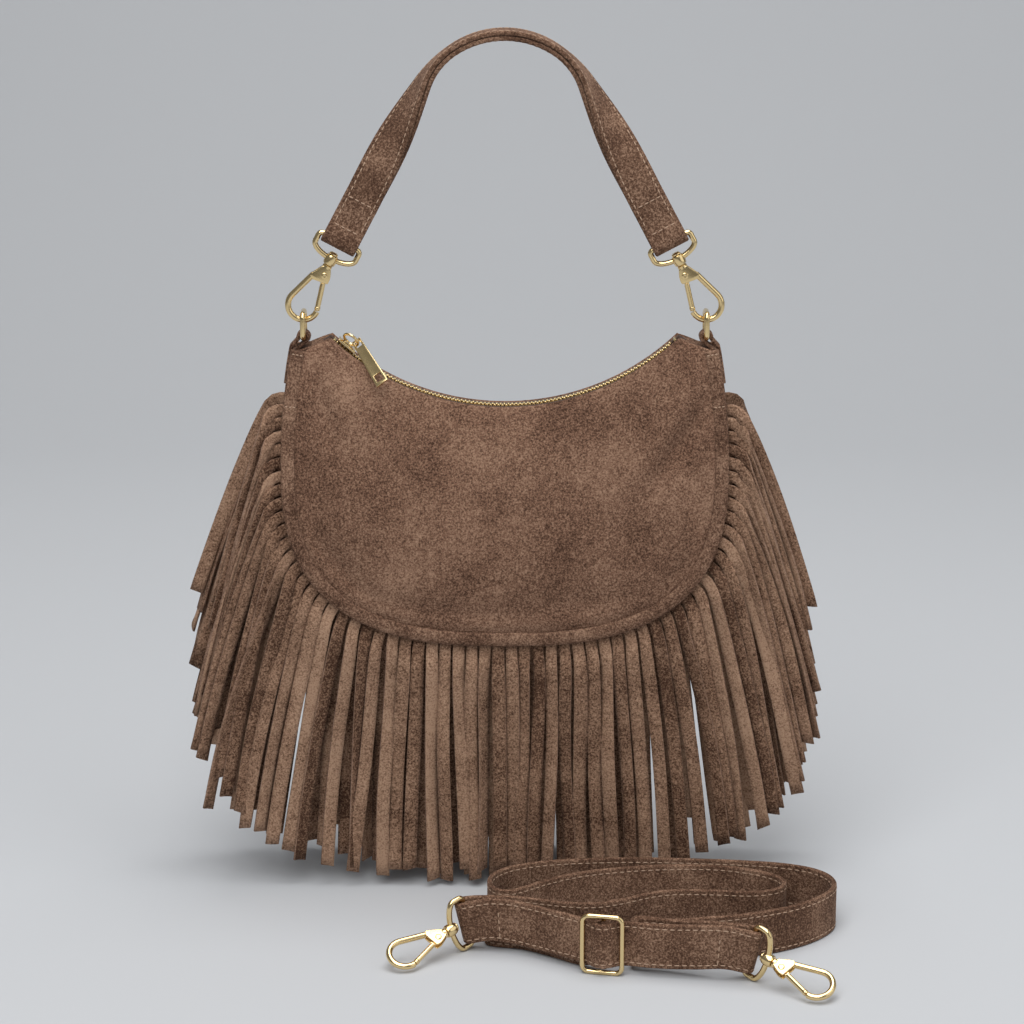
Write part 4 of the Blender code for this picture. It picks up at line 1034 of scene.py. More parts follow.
@dataclass
class FringeRow:
    """One slit strip of suede: strands that leave the seam, bend over and hang with a slight twist.

    Attributes:
        node: The CAD node of the row.
        face: Front or back of the bag.
        header: How far inside the seam's edge the strip is sewn.
        drift: How far the strands hang outside that.
        shifted: Whether they hang behind the gaps of the row before.
        seed: Seed of the strands' small differences.
        spread: Their width beside that of the front row.
    """

    node: str
    face: Face
    header: float
    drift: float
    shifted: bool
    seed: int
    spread: float = 1.0
    pitch: float = 7.07 * MM
    width: float = 6.7 * MM
    sheet: float = 1.2 * MM
    fan: float = math.radians(19.5)
    stations: int = 26
    sewn: float = 3.5 * MM
    walk: float = 1.5 * MM
    edges: tuple[float, ...] = (-0.5, -0.18, 0.18, 0.5)

    def build(self) -> None:
        """Build the row as one piece."""
        rng = random.Random(self.seed)
        run = OUTLINE.fringe_run
        count = round(2 * run / self.pitch) - (1 if self.shifted else 0)
        columns: list[list[Vector]] = []
        shades: list[float] = []
        for index in range(count):
            length = (index - (count - 1) / 2) * self.pitch
            shade = rng.uniform(-0.2, 0.24)
            for column in self.strand(length, rng):
                columns.append(column)
                shades.append(shade)
        rows = [list(row) for row in zip(*columns)]
        bm = MESHER.grid(rows, lambda column, row: column % 4 != 3, shades)
        made = MESHER.suede(self.node, bm, [STRAND_SUEDE, CUT_SUEDE], "suede_fringe")
        MESHER.thicken(made, self.sheet, rim=1)

    def strand(self, length: float, rng: random.Random) -> list[list[Vector]]:
        """Four columns of points down one strand.

        Args:
            length: Place on the seam, negative on the left.
            rng: Seeded source of the strand's small differences.

        Returns:
            Columns from one edge to the other, each from root to tip.
        """
        root, tangent, normal = OUTLINE.seam(length)
        part = abs(length) / OUTLINE.fringe_run
        sign = -1 if length < 0 else 1
        tip = 0.160 * max(0.0, (part - 0.12) / 0.88) ** 2.4 + rng.uniform(3.0, 11.0) * MM
        lean = self.fan * smoothstep((part - 0.08) / 0.72) * sign
        lean += rng.gauss(0, math.radians(0.9 + 1.2 * part))
        phase, sway = rng.uniform(0, math.tau), rng.uniform(0.3, 1.5) * MM
        twist, late = rng.gauss(0, 0.2), rng.gauss(0, 0.26)
        wide = self.width * self.spread * rng.uniform(1.0, 1.12)
        cup = rng.uniform(0.1, 0.7) * MM * rng.choice((-1, 1))
        line, headings = self.fall(root - normal * self.sewn, normal, lean, tip)
        columns: list[list[Vector]] = [[], [], [], []]
        total = len(line) - 1
        for station in range(self.stations + 1):
            place = (station / self.stations) ** 1.35 * total
            index = min(int(place), total - 1)
            point = line[index].lerp(line[index + 1], place - index)
            heading = headings[index].lerp(headings[index + 1], place - index).normalized()
            travelled = place * self.walk - self.sewn
            flat = heading.cross(DEEP)
            flat = flat if flat.dot(tangent) > 0 else -flat
            offset = max(self.pitch * abs(tangent.dot(flat)), 2.3 * MM)
            free = smoothstep(travelled / 0.016)
            turn = math.asin(min(0.95, 1.7 * MM / offset)) * free
            turn += twist * free + late * smoothstep(travelled / 0.09)
            across = flat * math.cos(turn) + DEEP * (sign * self.face.value * math.sin(turn))
            facing = across.cross(heading).normalized()
            depth = self.face.value * (OUTLINE.depth(root.z) - self.header)
            depth += self.face.value * self.drift * smoothstep(travelled / 0.014)
            depth += sway * math.sin(travelled * 45 + phase) * free
            wander = sway * 0.7 * math.sin(travelled * 38 + phase * 2) * free
            centre = point + DEEP * depth + flat * wander
            narrow = wide * (0.84 + 0.16 * smoothstep(travelled / 0.025))
            for column, edge in zip(columns, self.edges):
                arch = cup * free * (1 - (2 * edge) ** 2)
                column.append(centre + across * (edge * narrow) + facing * arch)
        ragged = rng.uniform(-1.2, 1.2) * MM
        for column, edge in zip(columns, self.edges):
            end = column[-1]
            end.z = max(0.75 * MM, end.z + ragged * edge * 2)
        return columns

    def fall(
        self, start: Vector, normal: Vector, lean: float, tip: float
    ) -> tuple[list[Vector], list[Vector]]:
        """Walk down from the seam: out along the normal, over in a small arch and down.

        Args:
            start: Where the strand is sewn in.
            normal: Outward normal of the seam there.
            lean: How far the strand leans to the side.
            tip: Height that it ends at.

        Returns:
            Points down the strand, and the direction at each.
        """
        point = start.copy()
        line, headings = [point.copy()], [normal.copy()]
        travelled = -self.sewn
        while point.z > tip and len(line) < 400:
            travelled += self.walk
            settled = lean * (1.12 - 0.42 * min(1.0, max(0.0, travelled) / 0.13))
            down = Vector((math.sin(settled), 0, -math.cos(settled)))
            heading = normal.lerp(down, smoothstep((travelled + 0.5 * MM) / 0.014)).normalized()
            point = point + heading * min(self.walk, max(0.2 * MM, point.z - tip + 0.05 * MM))
            line.append(point.copy())
            headings.append(heading)
        return line, headings


# Bands of the handle and strap


class Band:
    """Rings for a flat band swept along a path, with rounded edges."""

    stitch_inset = 2.3 * MM

    @staticmethod
    def section(width: float, thickness: float, groove: float = 0.0) -> list[Pair]:
        """Section of a band, a rounded rectangle.

        Args:
            width: Width of the band.
            thickness: Its thickness.
            groove: Depth of a groove along its rims, where its two layers meet.

        Returns:
            Points as their places across the band and the way it faces.
        """
        half_w, half_t = width / 2, thickness / 2
        corner = min(half_t * 0.75, 0.8 * MM)
        points = []
        for sign in (1, -1):
            turns = arc_points(corner, 90, -90, 4)
            rim = [(half_w - corner + a, half_t - corner + b) for a, b in turns]
            if groove:
                rim.append((half_w - groove * 0.2, groove * 0.8))
                rim.append((half_w - groove, 0.0))
                rim.append((half_w - groove * 0.2, -groove * 0.8))
            rim += [(a, -b) for a, b in rim[4::-1]]
            points += [(a * sign, b * sign) for a, b in rim]
            points += [(sign * half_w * part, -half_t * sign) for part in (0.66, 0.33)]
        return points

    @staticmethod
    def facings(path: Sequence[Station]) -> list[Vector]:
        """The way that the band faces at each station of its path.

        Args:
            path: Points, each with the direction across the band.

        Returns:
            One direction for each point.
        """
        last = len(path) - 1
        found = []
        for index, (_, across) in enumerate(path):
            along = path[min(index + 1, last)][0] - path[max(index - 1, 0)][0]
            found.append(along.cross(across).normalized())
        return found

    @classmethod
    def rings(
        cls, path: Sequence[Station], width: float, thickness: float, groove: float = 0.0
    ) -> list[list[Vector]]:
        """Sections of a band along its path.

        Args:
            path: Points, each with the direction across the band.
            width: Width of the band.
            thickness: Its thickness.
            groove: Depth of the groove along its rims.

        Returns:
            One ring of points for each point of the path.
        """
        section = cls.section(width, thickness, groove)
        rings = []
        for (point, across), facing in zip(path, cls.facings(path)):
            rings.append([point + across * a + facing * b for a, b in section])
        return rings

    @classmethod
    def edge_runs(cls, path: Sequence[Station], width: float, thickness: float) -> list[list[Station]]:
        """Stitch paths along both edges of both faces.

        Args:
            path: Points, each with the direction across the band.
            width: Width of the band.
            thickness: Its thickness.

        Returns:
            Two paths for the back face and then two for the face.
        """
        facings = cls.facings(path)
        runs = []
        for side, edge in ((-1, -1), (-1, 1), (1, -1), (1, 1)):
            aside, lift = edge * (width / 2 - cls.stitch_inset), side * thickness / 2
            run = []
            for (point, across), facing in zip(path, facings):
                run.append((point + across * aside + facing * lift, facing * side))
            runs.append(run)
        return runs

    @staticmethod
    def layer(size: float, sheet: float, wire: float) -> float:
        """How far a folded layer's middle lies from the fold's middle line.

        Args:
            size: Distance from the bar that the band is folded round.
            sheet: Thickness of a layer.
            wire: Radius of the bar.

        Returns:
            The distance, greatest at the bar.
        """
        pressed = (sheet + GAP) / 2
        round_bar = wire + GAP + sheet / 2
        return pressed + (round_bar - pressed) * (1 - smoothstep((size - 1 * MM) / (12 * MM)))


@dataclass
class Handle:
    """The top handle: two layers of suede, folded round each hook's eye and stitched."""

    hooks: "HookMaker"
    apex: float = 0.4605
    width: float = 19.5 * MM
    sheet: float = 2.4 * MM
    tail: float = 26 * MM
    lean: float = math.radians(28)

    def line(self) -> tuple[Callable[[float], tuple[Vector, Vector, Vector]], float]:
        """Middle line of the handle: two straight legs and an arc over the top.

        Returns:
            A function from a length to the point there, the way that the band faces and the
            direction across it, and the line's whole length.
        """
        bar = self.hooks.handle_frame(Side.RIGHT) @ Vector((0, 0, self.hooks.eye_bar))
        lean_cos, lean_sin = math.cos(self.lean), math.sin(self.lean)
        centre_z = (self.apex - bar.x * lean_cos - bar.z * lean_sin) / (1 - lean_sin)
        radius = self.apex - centre_z
        touch = Vector((radius * lean_cos, 0, centre_z + radius * lean_sin))
        leg = (touch - bar).length
        half = leg + radius * (math.pi / 2 - self.lean)

        def at(length: float) -> tuple[Vector, Vector, Vector]:
            """A place on the middle line.

            Args:
                length: Length from the left bar.

            Returns:
                The point, the way that the band faces and the direction across it.
            """
            side = -1 if length < half else 1
            size = length if side < 0 else 2 * half - length
            if size <= leg:
                point, tilt = bar.lerp(touch, size / leg), self.lean
            else:
                tilt = self.lean + (size - leg) / radius
                point = Vector((radius * math.cos(tilt), 0, centre_z + radius * math.sin(tilt)))
            outward = Vector((side * math.cos(tilt), 0, math.sin(tilt)))
            tangent = Vector((outward.z, 0, -outward.x))
            turn = math.pi / 2 * smoothstep((size - 22 * MM) / (96 * MM))
            facing = Vector((0, -math.cos(turn), 0)) + outward * math.sin(turn)
            return Vector((side * point.x, 0, point.z)), facing, tangent.cross(facing)

        return at, 2 * half

    def offset(self, size: float) -> float:
        """How far a layer lies from the middle line, by its distance from an eye's bar."""
        return Band.layer(size, self.sheet, self.hooks.eye_wire)

    def build(self) -> None:
        """Build both layers and their stitches."""
        at, total = self.line()
        outer = self.hooks.eye_wire + GAP + self.sheet / 2
        front: list[Station] = []
        steps = 150
        for index in range(1, steps):
            length = total * index / steps
            point, facing, across = at(length)
            front.append((point + facing * self.offset(min(length, total - length)), across))
        path: list[Station] = []
        for end in (0, 1):
            tail = []
            for index in range(12):
                length = self.tail * (1 - index / 12)
                point, facing, across = at(length if end == 0 else total - length)
                tail.append((point - facing * self.offset(length), across))
            point, facing, across = at(total * end)
            down = across.cross(facing)
            down = down if down.z < 0 else -down
            turns = arc_points(outer, -90, 180, 12)
            wrap = [(point + facing * b + down * a, across) for a, b in turns]
            path += wrap[::-1] + tail[::-1] if end else tail + wrap + front
        self.layer("handle_band", path)
        start = self.tail + GAP
        backing = []
        for index in range(131):
            length = start + (total - 2 * start) * index / 130
            point, facing, across = at(length)
            backing.append((point - facing * (self.sheet / 2 + GAP / 2), across))
        self.layer("handle_backing", backing)
        self.stitch(at, total, front, backing)

    def layer(self, node: str, path: list[Station]) -> None:
        """One layer of the handle along its path."""
        bm = MESHER.loft(Band.rings(path, self.width, self.sheet))
        MESHER.suede(node, bm, [STRAP_SUEDE], "suede_strap", "handle")

    def stitch(
        self,
        at: Callable[[float], tuple[Vector, Vector, Vector]],
        total: float,
        front: list[Station],
        backing: list[Station],
    ) -> None:
        """Edge stitches on the two outer faces and short rows across the folds.

        Args:
            at: The middle line's function of length.
            total: Its whole length.
            front: Path of the front layer.
            backing: Path of the backing.
        """
        stitches = Stitching()
        for layer, side in ((front[4:-4], 1), (backing, -1)):
            for run in Band.edge_runs(layer, self.width, self.sheet):
                if run[len(run) // 2][1].z * side > 0:
                    stitches.run(run)
        for length in (8 * MM, 24 * MM, total - 24 * MM, total - 8 * MM):
            point, facing, across = at(length)
            lift = self.offset(min(length, total - length)) + self.sheet / 2
            top = point + facing * lift
            stitches.run([(top + across * (self.width * part), facing) for part in (-0.36, 0.0, 0.36)])
        stitches.place("handle_stitches", "handle", "suede_strap")


# Swivel hooks, rings and eyes


@dataclass
class HookMaker:
    """Swivel hooks in their own frame: p across, q up the hook's axis."""

    wire: float = 1.65 * MM
    bow_radius: float = 8 * MM
    bow_offset: float = 1.9 * MM
    bow_play: float = 0.8 * MM
    arm_top: Pair = (4.6 * MM, 25.5 * MM)
    plate_top: float = 32.2 * MM
    plate_thick: float = 4.4 * MM
    pin: Pair = (-1.0 * MM, 27.6 * MM)
    barrel_low: float = 33.6 * MM
    barrel_length: float = 5.6 * MM
    eye_wire: float = 1.5 * MM
    eye_play: float = 0.6 * MM
    eye_depth: float = 10.5 * MM
    eye_straight: float = 5.5 * MM
    lean: float = math.radians(28)

    @property
    def eye_bar(self) -> float:
        """Height of the eye's straight bar up the hook's axis."""
        return self.barrel_low + self.barrel_length * 0.6 + self.eye_depth

    @staticmethod
    def frame(origin: Vector, across: Vector, up: Vector) -> Matrix:
        """A hook's frame.

        Args:
            origin: Lowest point of the bow.
            across: Roughly the p direction.
            up: The q direction.

        Returns:
            The frame, with p square to q.
        """
        up = up.normalized()
        across = (across - up * across.dot(up)).normalized()
        turn = Matrix((across, up.cross(across), up)).transposed().to_4x4()
        return Matrix.Translation(origin) @ turn

    def handle_frame(self, side: Side) -> Matrix:
        """Frame of a handle hook, its bow hanging round the ring's top bar.

        Args:
            side: Left or right hook.

        Returns:
            The hook's frame.
        """
        sign = side.value
        up = Vector((-sign * math.sin(self.lean), 0, math.cos(self.lean)))
        across = Vector((sign * math.cos(self.lean), 0, math.sin(self.lean)))
        rise = self.bow_radius - self.wire - self.bow_play - RING_WIRE
        centre = Vector((sign * RING_X, 0, RING_Z + RING_HALF + rise))
        return self.frame(centre - across * self.bow_offset - up * self.bow_radius, across, up)

    def build_set(
        self, name: str, bodies: tuple[str, str, str], eye_frame: Matrix, bar: float, roll: float = 0.0
    ) -> None:
        """Build one eye, hook, gate and pin.

        Args:
            name: Prefix of the CAD nodes.
            bodies: CAD bodies of the eye, the hook and the gate.
            eye_frame: Frame of the eye.
            bar: Clear width inside the eye.
            roll: How far the hook is turned in the eye's barrel.
        """
        frame = eye_frame @ Matrix.Rotation(roll, 4, "Z")
        eye = MESHER.join([(part, eye_frame) for part in (self.ring(bar), self.barrel())])
        MESHER.metal(f"{name}_eye", eye, bodies[0])
        hook = MESHER.join([(part, frame) for part in self.hook_parts()])
        MESHER.metal(f"{name}_hook", hook, bodies[1])
        gate = MESHER.join([(part, frame) for part in self.gate_parts()])
        MESHER.metal(f"{name}_gate", gate, bodies[2])
        place = frame @ Matrix.Translation((self.pin[0], 0, self.pin[1])) @ TO_FRONT
        rivet = MESHER.join([(self.rivet(), place)])
        MESHER.metal(f"{name}_gate_pin", rivet, bodies[1], name=f"{name}_rivet")
        place = frame @ Matrix.Translation((2.15 * MM, 0, self.pin[1] - 0.2 * MM))
        leaf = MESHER.join([(MESHER.block((0.3 * MM, 1.3 * MM, 4.5 * MM), 0.1 * MM, 1), place)])
        MESHER.metal(f"{name}_gate_spring", leaf, bodies[1], TOOTH_GOLD, f"{name}_spring")

    def ring(self, bar: float) -> bmesh.types.BMesh:
        """The D-shaped eye, with small radii where the bar meets the sides.

        Args:
            bar: Width of the band that it holds.

        Returns:
            The eye's bmesh in the hook's frame.
        """
        half, corner = bar / 2 + self.eye_play + self.eye_wire, 2.0 * MM
        points = [(half - corner + a, b - corner) for a, b in arc_points(corner, 90, -90, 5)]
        depth = self.eye_depth - self.eye_straight
        points += [(half * a, -self.eye_straight - depth * b) for a, b in arc_points(1.0, 0, 180, 24)]
        points += [(corner - half + a, b - corner) for a, b in arc_points(corner, 180, -90, 5)]
        wire = [Vector((p, 0, self.eye_bar + q)) for p, q in points]
        return MESHER.tube(wire, self.eye_wire, closed=True)

    def barrel(self) -> bmesh.types.BMesh:
        """The eye's barrel, with rounded shoulders and a bore for the hook's post.

        Returns:
            Its bmesh.
        """
        low, high = self.barrel_low, self.barrel_low + self.barrel_length
        bore, shoulder, bulge = 1.5 * MM, 2.6 * MM, 0.8 * MM
        profile = [(bore, low), (shoulder, low)]
        for a, b in arc_points(1.0, -90, 180, 8):
            profile.append((shoulder + bulge * a**0.7, (low + high) / 2 + self.barrel_length / 2 * b))
        return MESHER.spun(profile + [(shoulder, high), (bore, high), (bore, low)])

    def arm_line(self, steps: int = 40) -> list[Vector]:
        """Middle line of the bent arm, from the gate's seat round the bow and up.

        Args:
            steps: Steps round the bow.

        Returns:
            The line's points.
        """
        centre = Vector((self.bow_offset, 0, self.bow_radius))
        top = Vector((self.arm_top[0], 0, self.arm_top[1]))
        reach = top - centre
        lean = math.atan2(reach.z, reach.x) - math.acos(self.bow_radius / reach.length)
        bow = arc_points(self.bow_radius, 180, 180 + math.degrees(lean), steps)
        points = [centre + Vector((a, 0, b)) for a, b in bow]
        return points + [points[-1].lerp(top, part) for part in (0.25, 0.5, 0.75, 1.0)]

    def hook_parts(self) -> list[bmesh.types.BMesh]:
        """Arm, two cheeks with a slot between them, and the post that turns in the barrel.

        Returns:
            One bmesh for each, with the web between the cheeks.
        """
        thick, rim = 0.9 * MM, 0.3 * MM
        cheeks = []
        for sign in (-1, 1):
            cheek = MESHER.plate([self.cheek_outline()], thick, rim)
            aside = sign * (self.plate_thick - thick) / 2
            cheek.transform(Matrix.Translation((0, aside, 0)) @ TO_FRONT)
            cheeks.append(cheek)
        web = MESHER.plate([self.web_outline()], self.plate_thick - 0.5 * MM, rim)
        web.transform(TO_FRONT)
        neck, head = 2.6 * MM, 2.4 * MM
        low, top = self.barrel_low - GAP, self.barrel_low + self.barrel_length + GAP
        profile = [(0.0, self.plate_top - 1.2 * MM), (neck, self.plate_top - 0.8 * MM)]
        profile += [(neck, low - 0.4 * MM), (neck - 0.4 * MM, low), (1.2 * MM, low), (1.2 * MM, top)]
        profile += [(head, top), (head, top + 0.6 * MM), (head * 0.7, top + 1.2 * MM)]
        profile += [(0.0, top + 1.4 * MM)]
        return [MESHER.tube(self.arm_line(), self.wire), *cheeks, web, MESHER.spun(profile)]

    def cheek_outline(self) -> list[Pair]:
        """Outline of a cheek, with its corners rounded.

        Returns:
            Its points, clockwise.
        """
        corners = [
            (-2.2 * MM, self.plate_top),
            (2.2 * MM, self.plate_top),
            (self.arm_top[0] + 1.7 * MM, 24.6 * MM),
            (self.arm_top[0] - 0.4 * MM, 23.0 * MM),
            (-4.5 * MM, 24.2 * MM),
            (-4.4 * MM, 27.2 * MM),
        ]
        rounded, cut = [], 0.9 * MM
        for index, corner in enumerate(corners):
            before, after = Vector(corners[index - 1]), Vector(corners[(index + 1) % len(corners)])
            here = Vector(corner)
            start = here + (before - here).normalized() * cut
            end = here + (after - here).normalized() * cut
            for step in range(5):
                part = step / 4
                point = start.lerp(here, part).lerp(here.lerp(end, part), part)
                rounded.append((point.x, point.y))
        return rounded[::-1]

    def web_outline(self) -> list[Pair]:
        """The solid side of the plate, where the arm grows out of it.

        Returns:
            Its points, anticlockwise.
        """
        top = self.plate_top
        low = [(2.6 * MM, 24.0 * MM), (5.9 * MM, 24.6 * MM)]
        return low + [(2.1 * MM, top), (-2.0 * MM, top), (-2.0 * MM, top - 1.6 * MM)]

    def gate_parts(self) -> list[bmesh.types.BMesh]:
        """Round gate with a ball end and a flat tongue round the rivet.

        Returns:
            One bmesh for each.
        """
        seat = self.arm_line()[0]
        low = Vector((seat.x + 0.2 * MM, 0, seat.z + 0.7 * MM))
        top = Vector((self.pin[0] - 1.1 * MM, 0, 23.2 * MM))
        points = [low.lerp(top, step / 8) for step in range(9)]
        ball = bmesh.new()
        bmesh.ops.create_uvsphere(ball, u_segments=16, v_segments=10, radius=1.62 * MM)
        ball.transform(Matrix.Translation(low + (top - low).normalized() * 1.3 * MM))
        loop = [(self.pin[0] + a, self.pin[1] + b) for a, b in arc_points(1.8 * MM, 0, 180, 12)]
        loop += [(top.x - 1.1 * MM, 22.2 * MM), (top.x + 1.1 * MM, 22.2 * MM)]
        tongue = MESHER.plate([loop], 2 * MM, 0.25 * MM)
        tongue.transform(TO_FRONT)
        return [MESHER.tube(points, 1.4 * MM), ball, tongue]

    def rivet(self) -> bmesh.types.BMesh:
        """Rivet through both cheeks, with a low domed head and a small dimple outside each.

        Returns:
            Its bmesh.
        """
        cheek = self.plate_thick / 2 + 0.05 * MM
        half = [(0.9 * MM, cheek), (1.7 * MM, cheek), (1.65 * MM, cheek + 0.3 * MM)]
        half += [(1.2 * MM, cheek + 0.55 * MM), (0.7 * MM, cheek + 0.55 * MM), (0.0, cheek + 0.4 * MM)]
        profile = [(r, -q) for r, q in half[::-1]] + half
        return MESHER.spun(profile, 20)

    def rings(self) -> None:
        """The two rings on the bag's corners."""
        for side in Side:
            name = side.name.lower()
            centre = Vector((side.value * RING_X, 0, RING_Z))
            turns = rounded_frame(RING_HALF, RING_HALF, 2.6 * MM)
            wire = [centre + Vector((0, a, b)) for a, b in turns]
            MESHER.metal(f"ring_{name}", MESHER.tube(wire, RING_WIRE, True), f"{name}_ring")


# Zip


@dataclass
class Zip:
    """Tapes, fine teeth, end stops, slider and pull."""

    top: float = 0.1319
    tooth_depth: float = 3.0 * MM
    slider_angle: float = math.radians(-40)
    plate: float = 1.4 * MM
    play: float = 0.4 * MM
    hoop_radius: float = 4.3 * MM
    hoop_wire: float = 0.75 * MM
    end_angle: float = OUTLINE.zip_angle - math.radians(1.5)

    @property
    def middle(self) -> float:
        """Radius of the middle of the teeth."""
        return self.top + self.tooth_depth / 2

    def build(self) -> None:
        """Build the whole zip."""
        self.tapes()
        self.teeth()
        self.stops()
        self.slider()
        self.pull()

    def tapes(self) -> None:
        """Woven tape on each side, from the teeth to the lip."""
        for node, face in (("zip_tape_front", Face.FRONT), ("zip_tape_back", Face.BACK)):
            rows = []
            for y in (2.0, 2.6, 3.2, 3.8, 4.4, 5.0):
                row = []
                for column in range(91):
                    angle = OUTLINE.zip_angle * (2 * column / 90 - 1)
                    row.append(OUTLINE.arc(angle, self.middle, face.value * y * MM))
                rows.append(row)
            bm = MESHER.grid(rows)
            made = MESHER.place(f"{node}_cloth", bm, [TAPE_CLOTH], "bag", "zip_cloth", [node])
            MESHER.thicken(made, 0.8 * MM)

    def teeth(self) -> None:
        """Small rounded metal teeth, alternating from the two tapes."""
        pitch = 2.1 * MM
        count = int(2 * self.end_angle * self.middle / pitch)
        for face, shift in ((Face.FRONT, 0.0), (Face.BACK, 0.5)):
            node, parts = f"zip_teeth_{face.name.lower()}", []
            for index in range(count - 1):
                angle = -self.end_angle + (index + 0.5 + shift) * pitch / self.middle
                tooth = MESHER.block((1.25 * MM, 2.9 * MM, self.tooth_depth * 0.9), 0.28 * MM, 1)
                spot = OUTLINE.arc(angle, self.middle, face.value * 1.15 * MM)
                parts.append((tooth, Matrix.Translation(spot) @ Matrix.Rotation(-angle, 4, "Y")))
            MESHER.metal(node, MESHER.join(parts), "bag", TOOTH_GOLD)

    def stops(self) -> None:
        """Metal stops at both ends of the teeth."""
        size = (1.4 * MM, 5.8 * MM, self.tooth_depth)
        angle = self.end_angle + 1.0 * MM / self.middle
        for node, sign in (("zip_stop_left", -1), ("zip_stop_right", 1)):
            place = Matrix.Translation(OUTLINE.arc(sign * angle, self.middle, 0))
            turn = Matrix.Rotation(-sign * angle, 4, "Y")
            stop = MESHER.join([(MESHER.block(size, 0.4 * MM), place @ turn)])
            MESHER.metal(node, stop, "bag", TOOTH_GOLD)

    def hoop(self) -> tuple[Vector, Vector, Vector, Vector, Vector]:
        """Place of the slider's hoop and of the pull that hangs in it.

        Returns:
            The hoop's centre, the point that the pull hangs from, the two directions of the
            hoop's plane and the direction that the pull hangs in.
        """
        normal = Vector((0.50, 0.62, 0.60)).normalized()
        aim = Vector((16.0, -19.0, -21.5)).normalized()
        angle = self.slider_angle
        inward = Vector((-math.sin(angle), 0, math.cos(angle)))
        reach = self.hoop_radius * math.sqrt(1 - normal.dot(inward) ** 2) + self.hoop_wire
        plate_top = self.top - self.play - self.plate
        centre = OUTLINE.arc(angle, plate_top - reach + self.plate / 3, 0)
        outward = (aim - normal * aim.dot(normal)).normalized()
        return centre, centre + outward * self.hoop_radius, outward, normal.cross(outward), aim

    def slider(self) -> None:
        """Slider body: two shaped plates, a neck and the hoop for the pull."""
        centre, _, outward, along, _ = self.hoop()
        rise = self.tooth_depth / 2 + self.play + self.plate / 2
        frame = Matrix.Translation(OUTLINE.arc(self.slider_angle, self.middle, 0))
        frame = frame @ Matrix.Rotation(-self.slider_angle, 4, "Y")
        parts = []
        long = 11 * MM
        for sign in (-1, 1):
            shape = MESHER.block((long, 8.4 * MM, self.plate), 0.45 * MM, 3)
            for vert in shape.verts:
                part = min(1.0, max(0.0, vert.co.x / long + 0.5))
                vert.co.y *= 1 - 0.16 * math.sin(math.pi * part)
            parts.append((shape, frame @ Matrix.Translation((0, 0, sign * rise))))
        neck = MESHER.block((4.4 * MM, 0.6 * MM, 2 * rise), 0.1 * MM, 1)
        parts.append((neck, frame @ Matrix.Translation((2.2 * MM, 0, 0))))
        saddle = MESHER.block((4.6 * MM, 3.0 * MM, 1.1 * MM), 0.4 * MM, 3)
        parts.append((saddle, frame @ Matrix.Translation((0, 0, rise + 0.9 * MM))))
        turns = arc_points(self.hoop_radius, 0, 360, 36)[:-1]
        ring = [centre + outward * a + along * b for a, b in turns]
        parts.append((MESHER.tube(ring, self.hoop_wire, True), Matrix.Identity(4)))
        MESHER.metal("zip_slider", MESHER.join(parts), "slider")

    @staticmethod
    def opening(half: float, low: float, high: float) -> list[Pair]:
        """A rectangle cut through the pull."""
        return [(-half, low), (half, low), (half, high), (-half, high)]

    def pull(self) -> None:
        """Flat pull with a slot at its top and a window near its free end."""
        _, hang, _, _, up = self.hoop()
        up = -up
        top, low = 2.25 * MM, 2.25 * MM - 30 * MM
        outline = [(-2.6 * MM, top), (2.6 * MM, top), (3.6 * MM, low), (-3.6 * MM, low)]
        slot = self.opening(1.6 * MM, -2.3 * MM, 1.05 * MM)
        window = self.opening(2.1 * MM, low + 1.9 * MM, low + 6.2 * MM)
        bm = MESHER.plate([outline, slot, window], 1.5 * MM, 0.22 * MM)
        across = Vector((-up.z, 0, up.x)).normalized()
        turn = Matrix((across, up, across.cross(up))).transposed().to_4x4()
        bm.transform(Matrix.Translation(hang) @ turn)
        MESHER.metal("zip_pull", bm, "pull")


# Shoulder strap


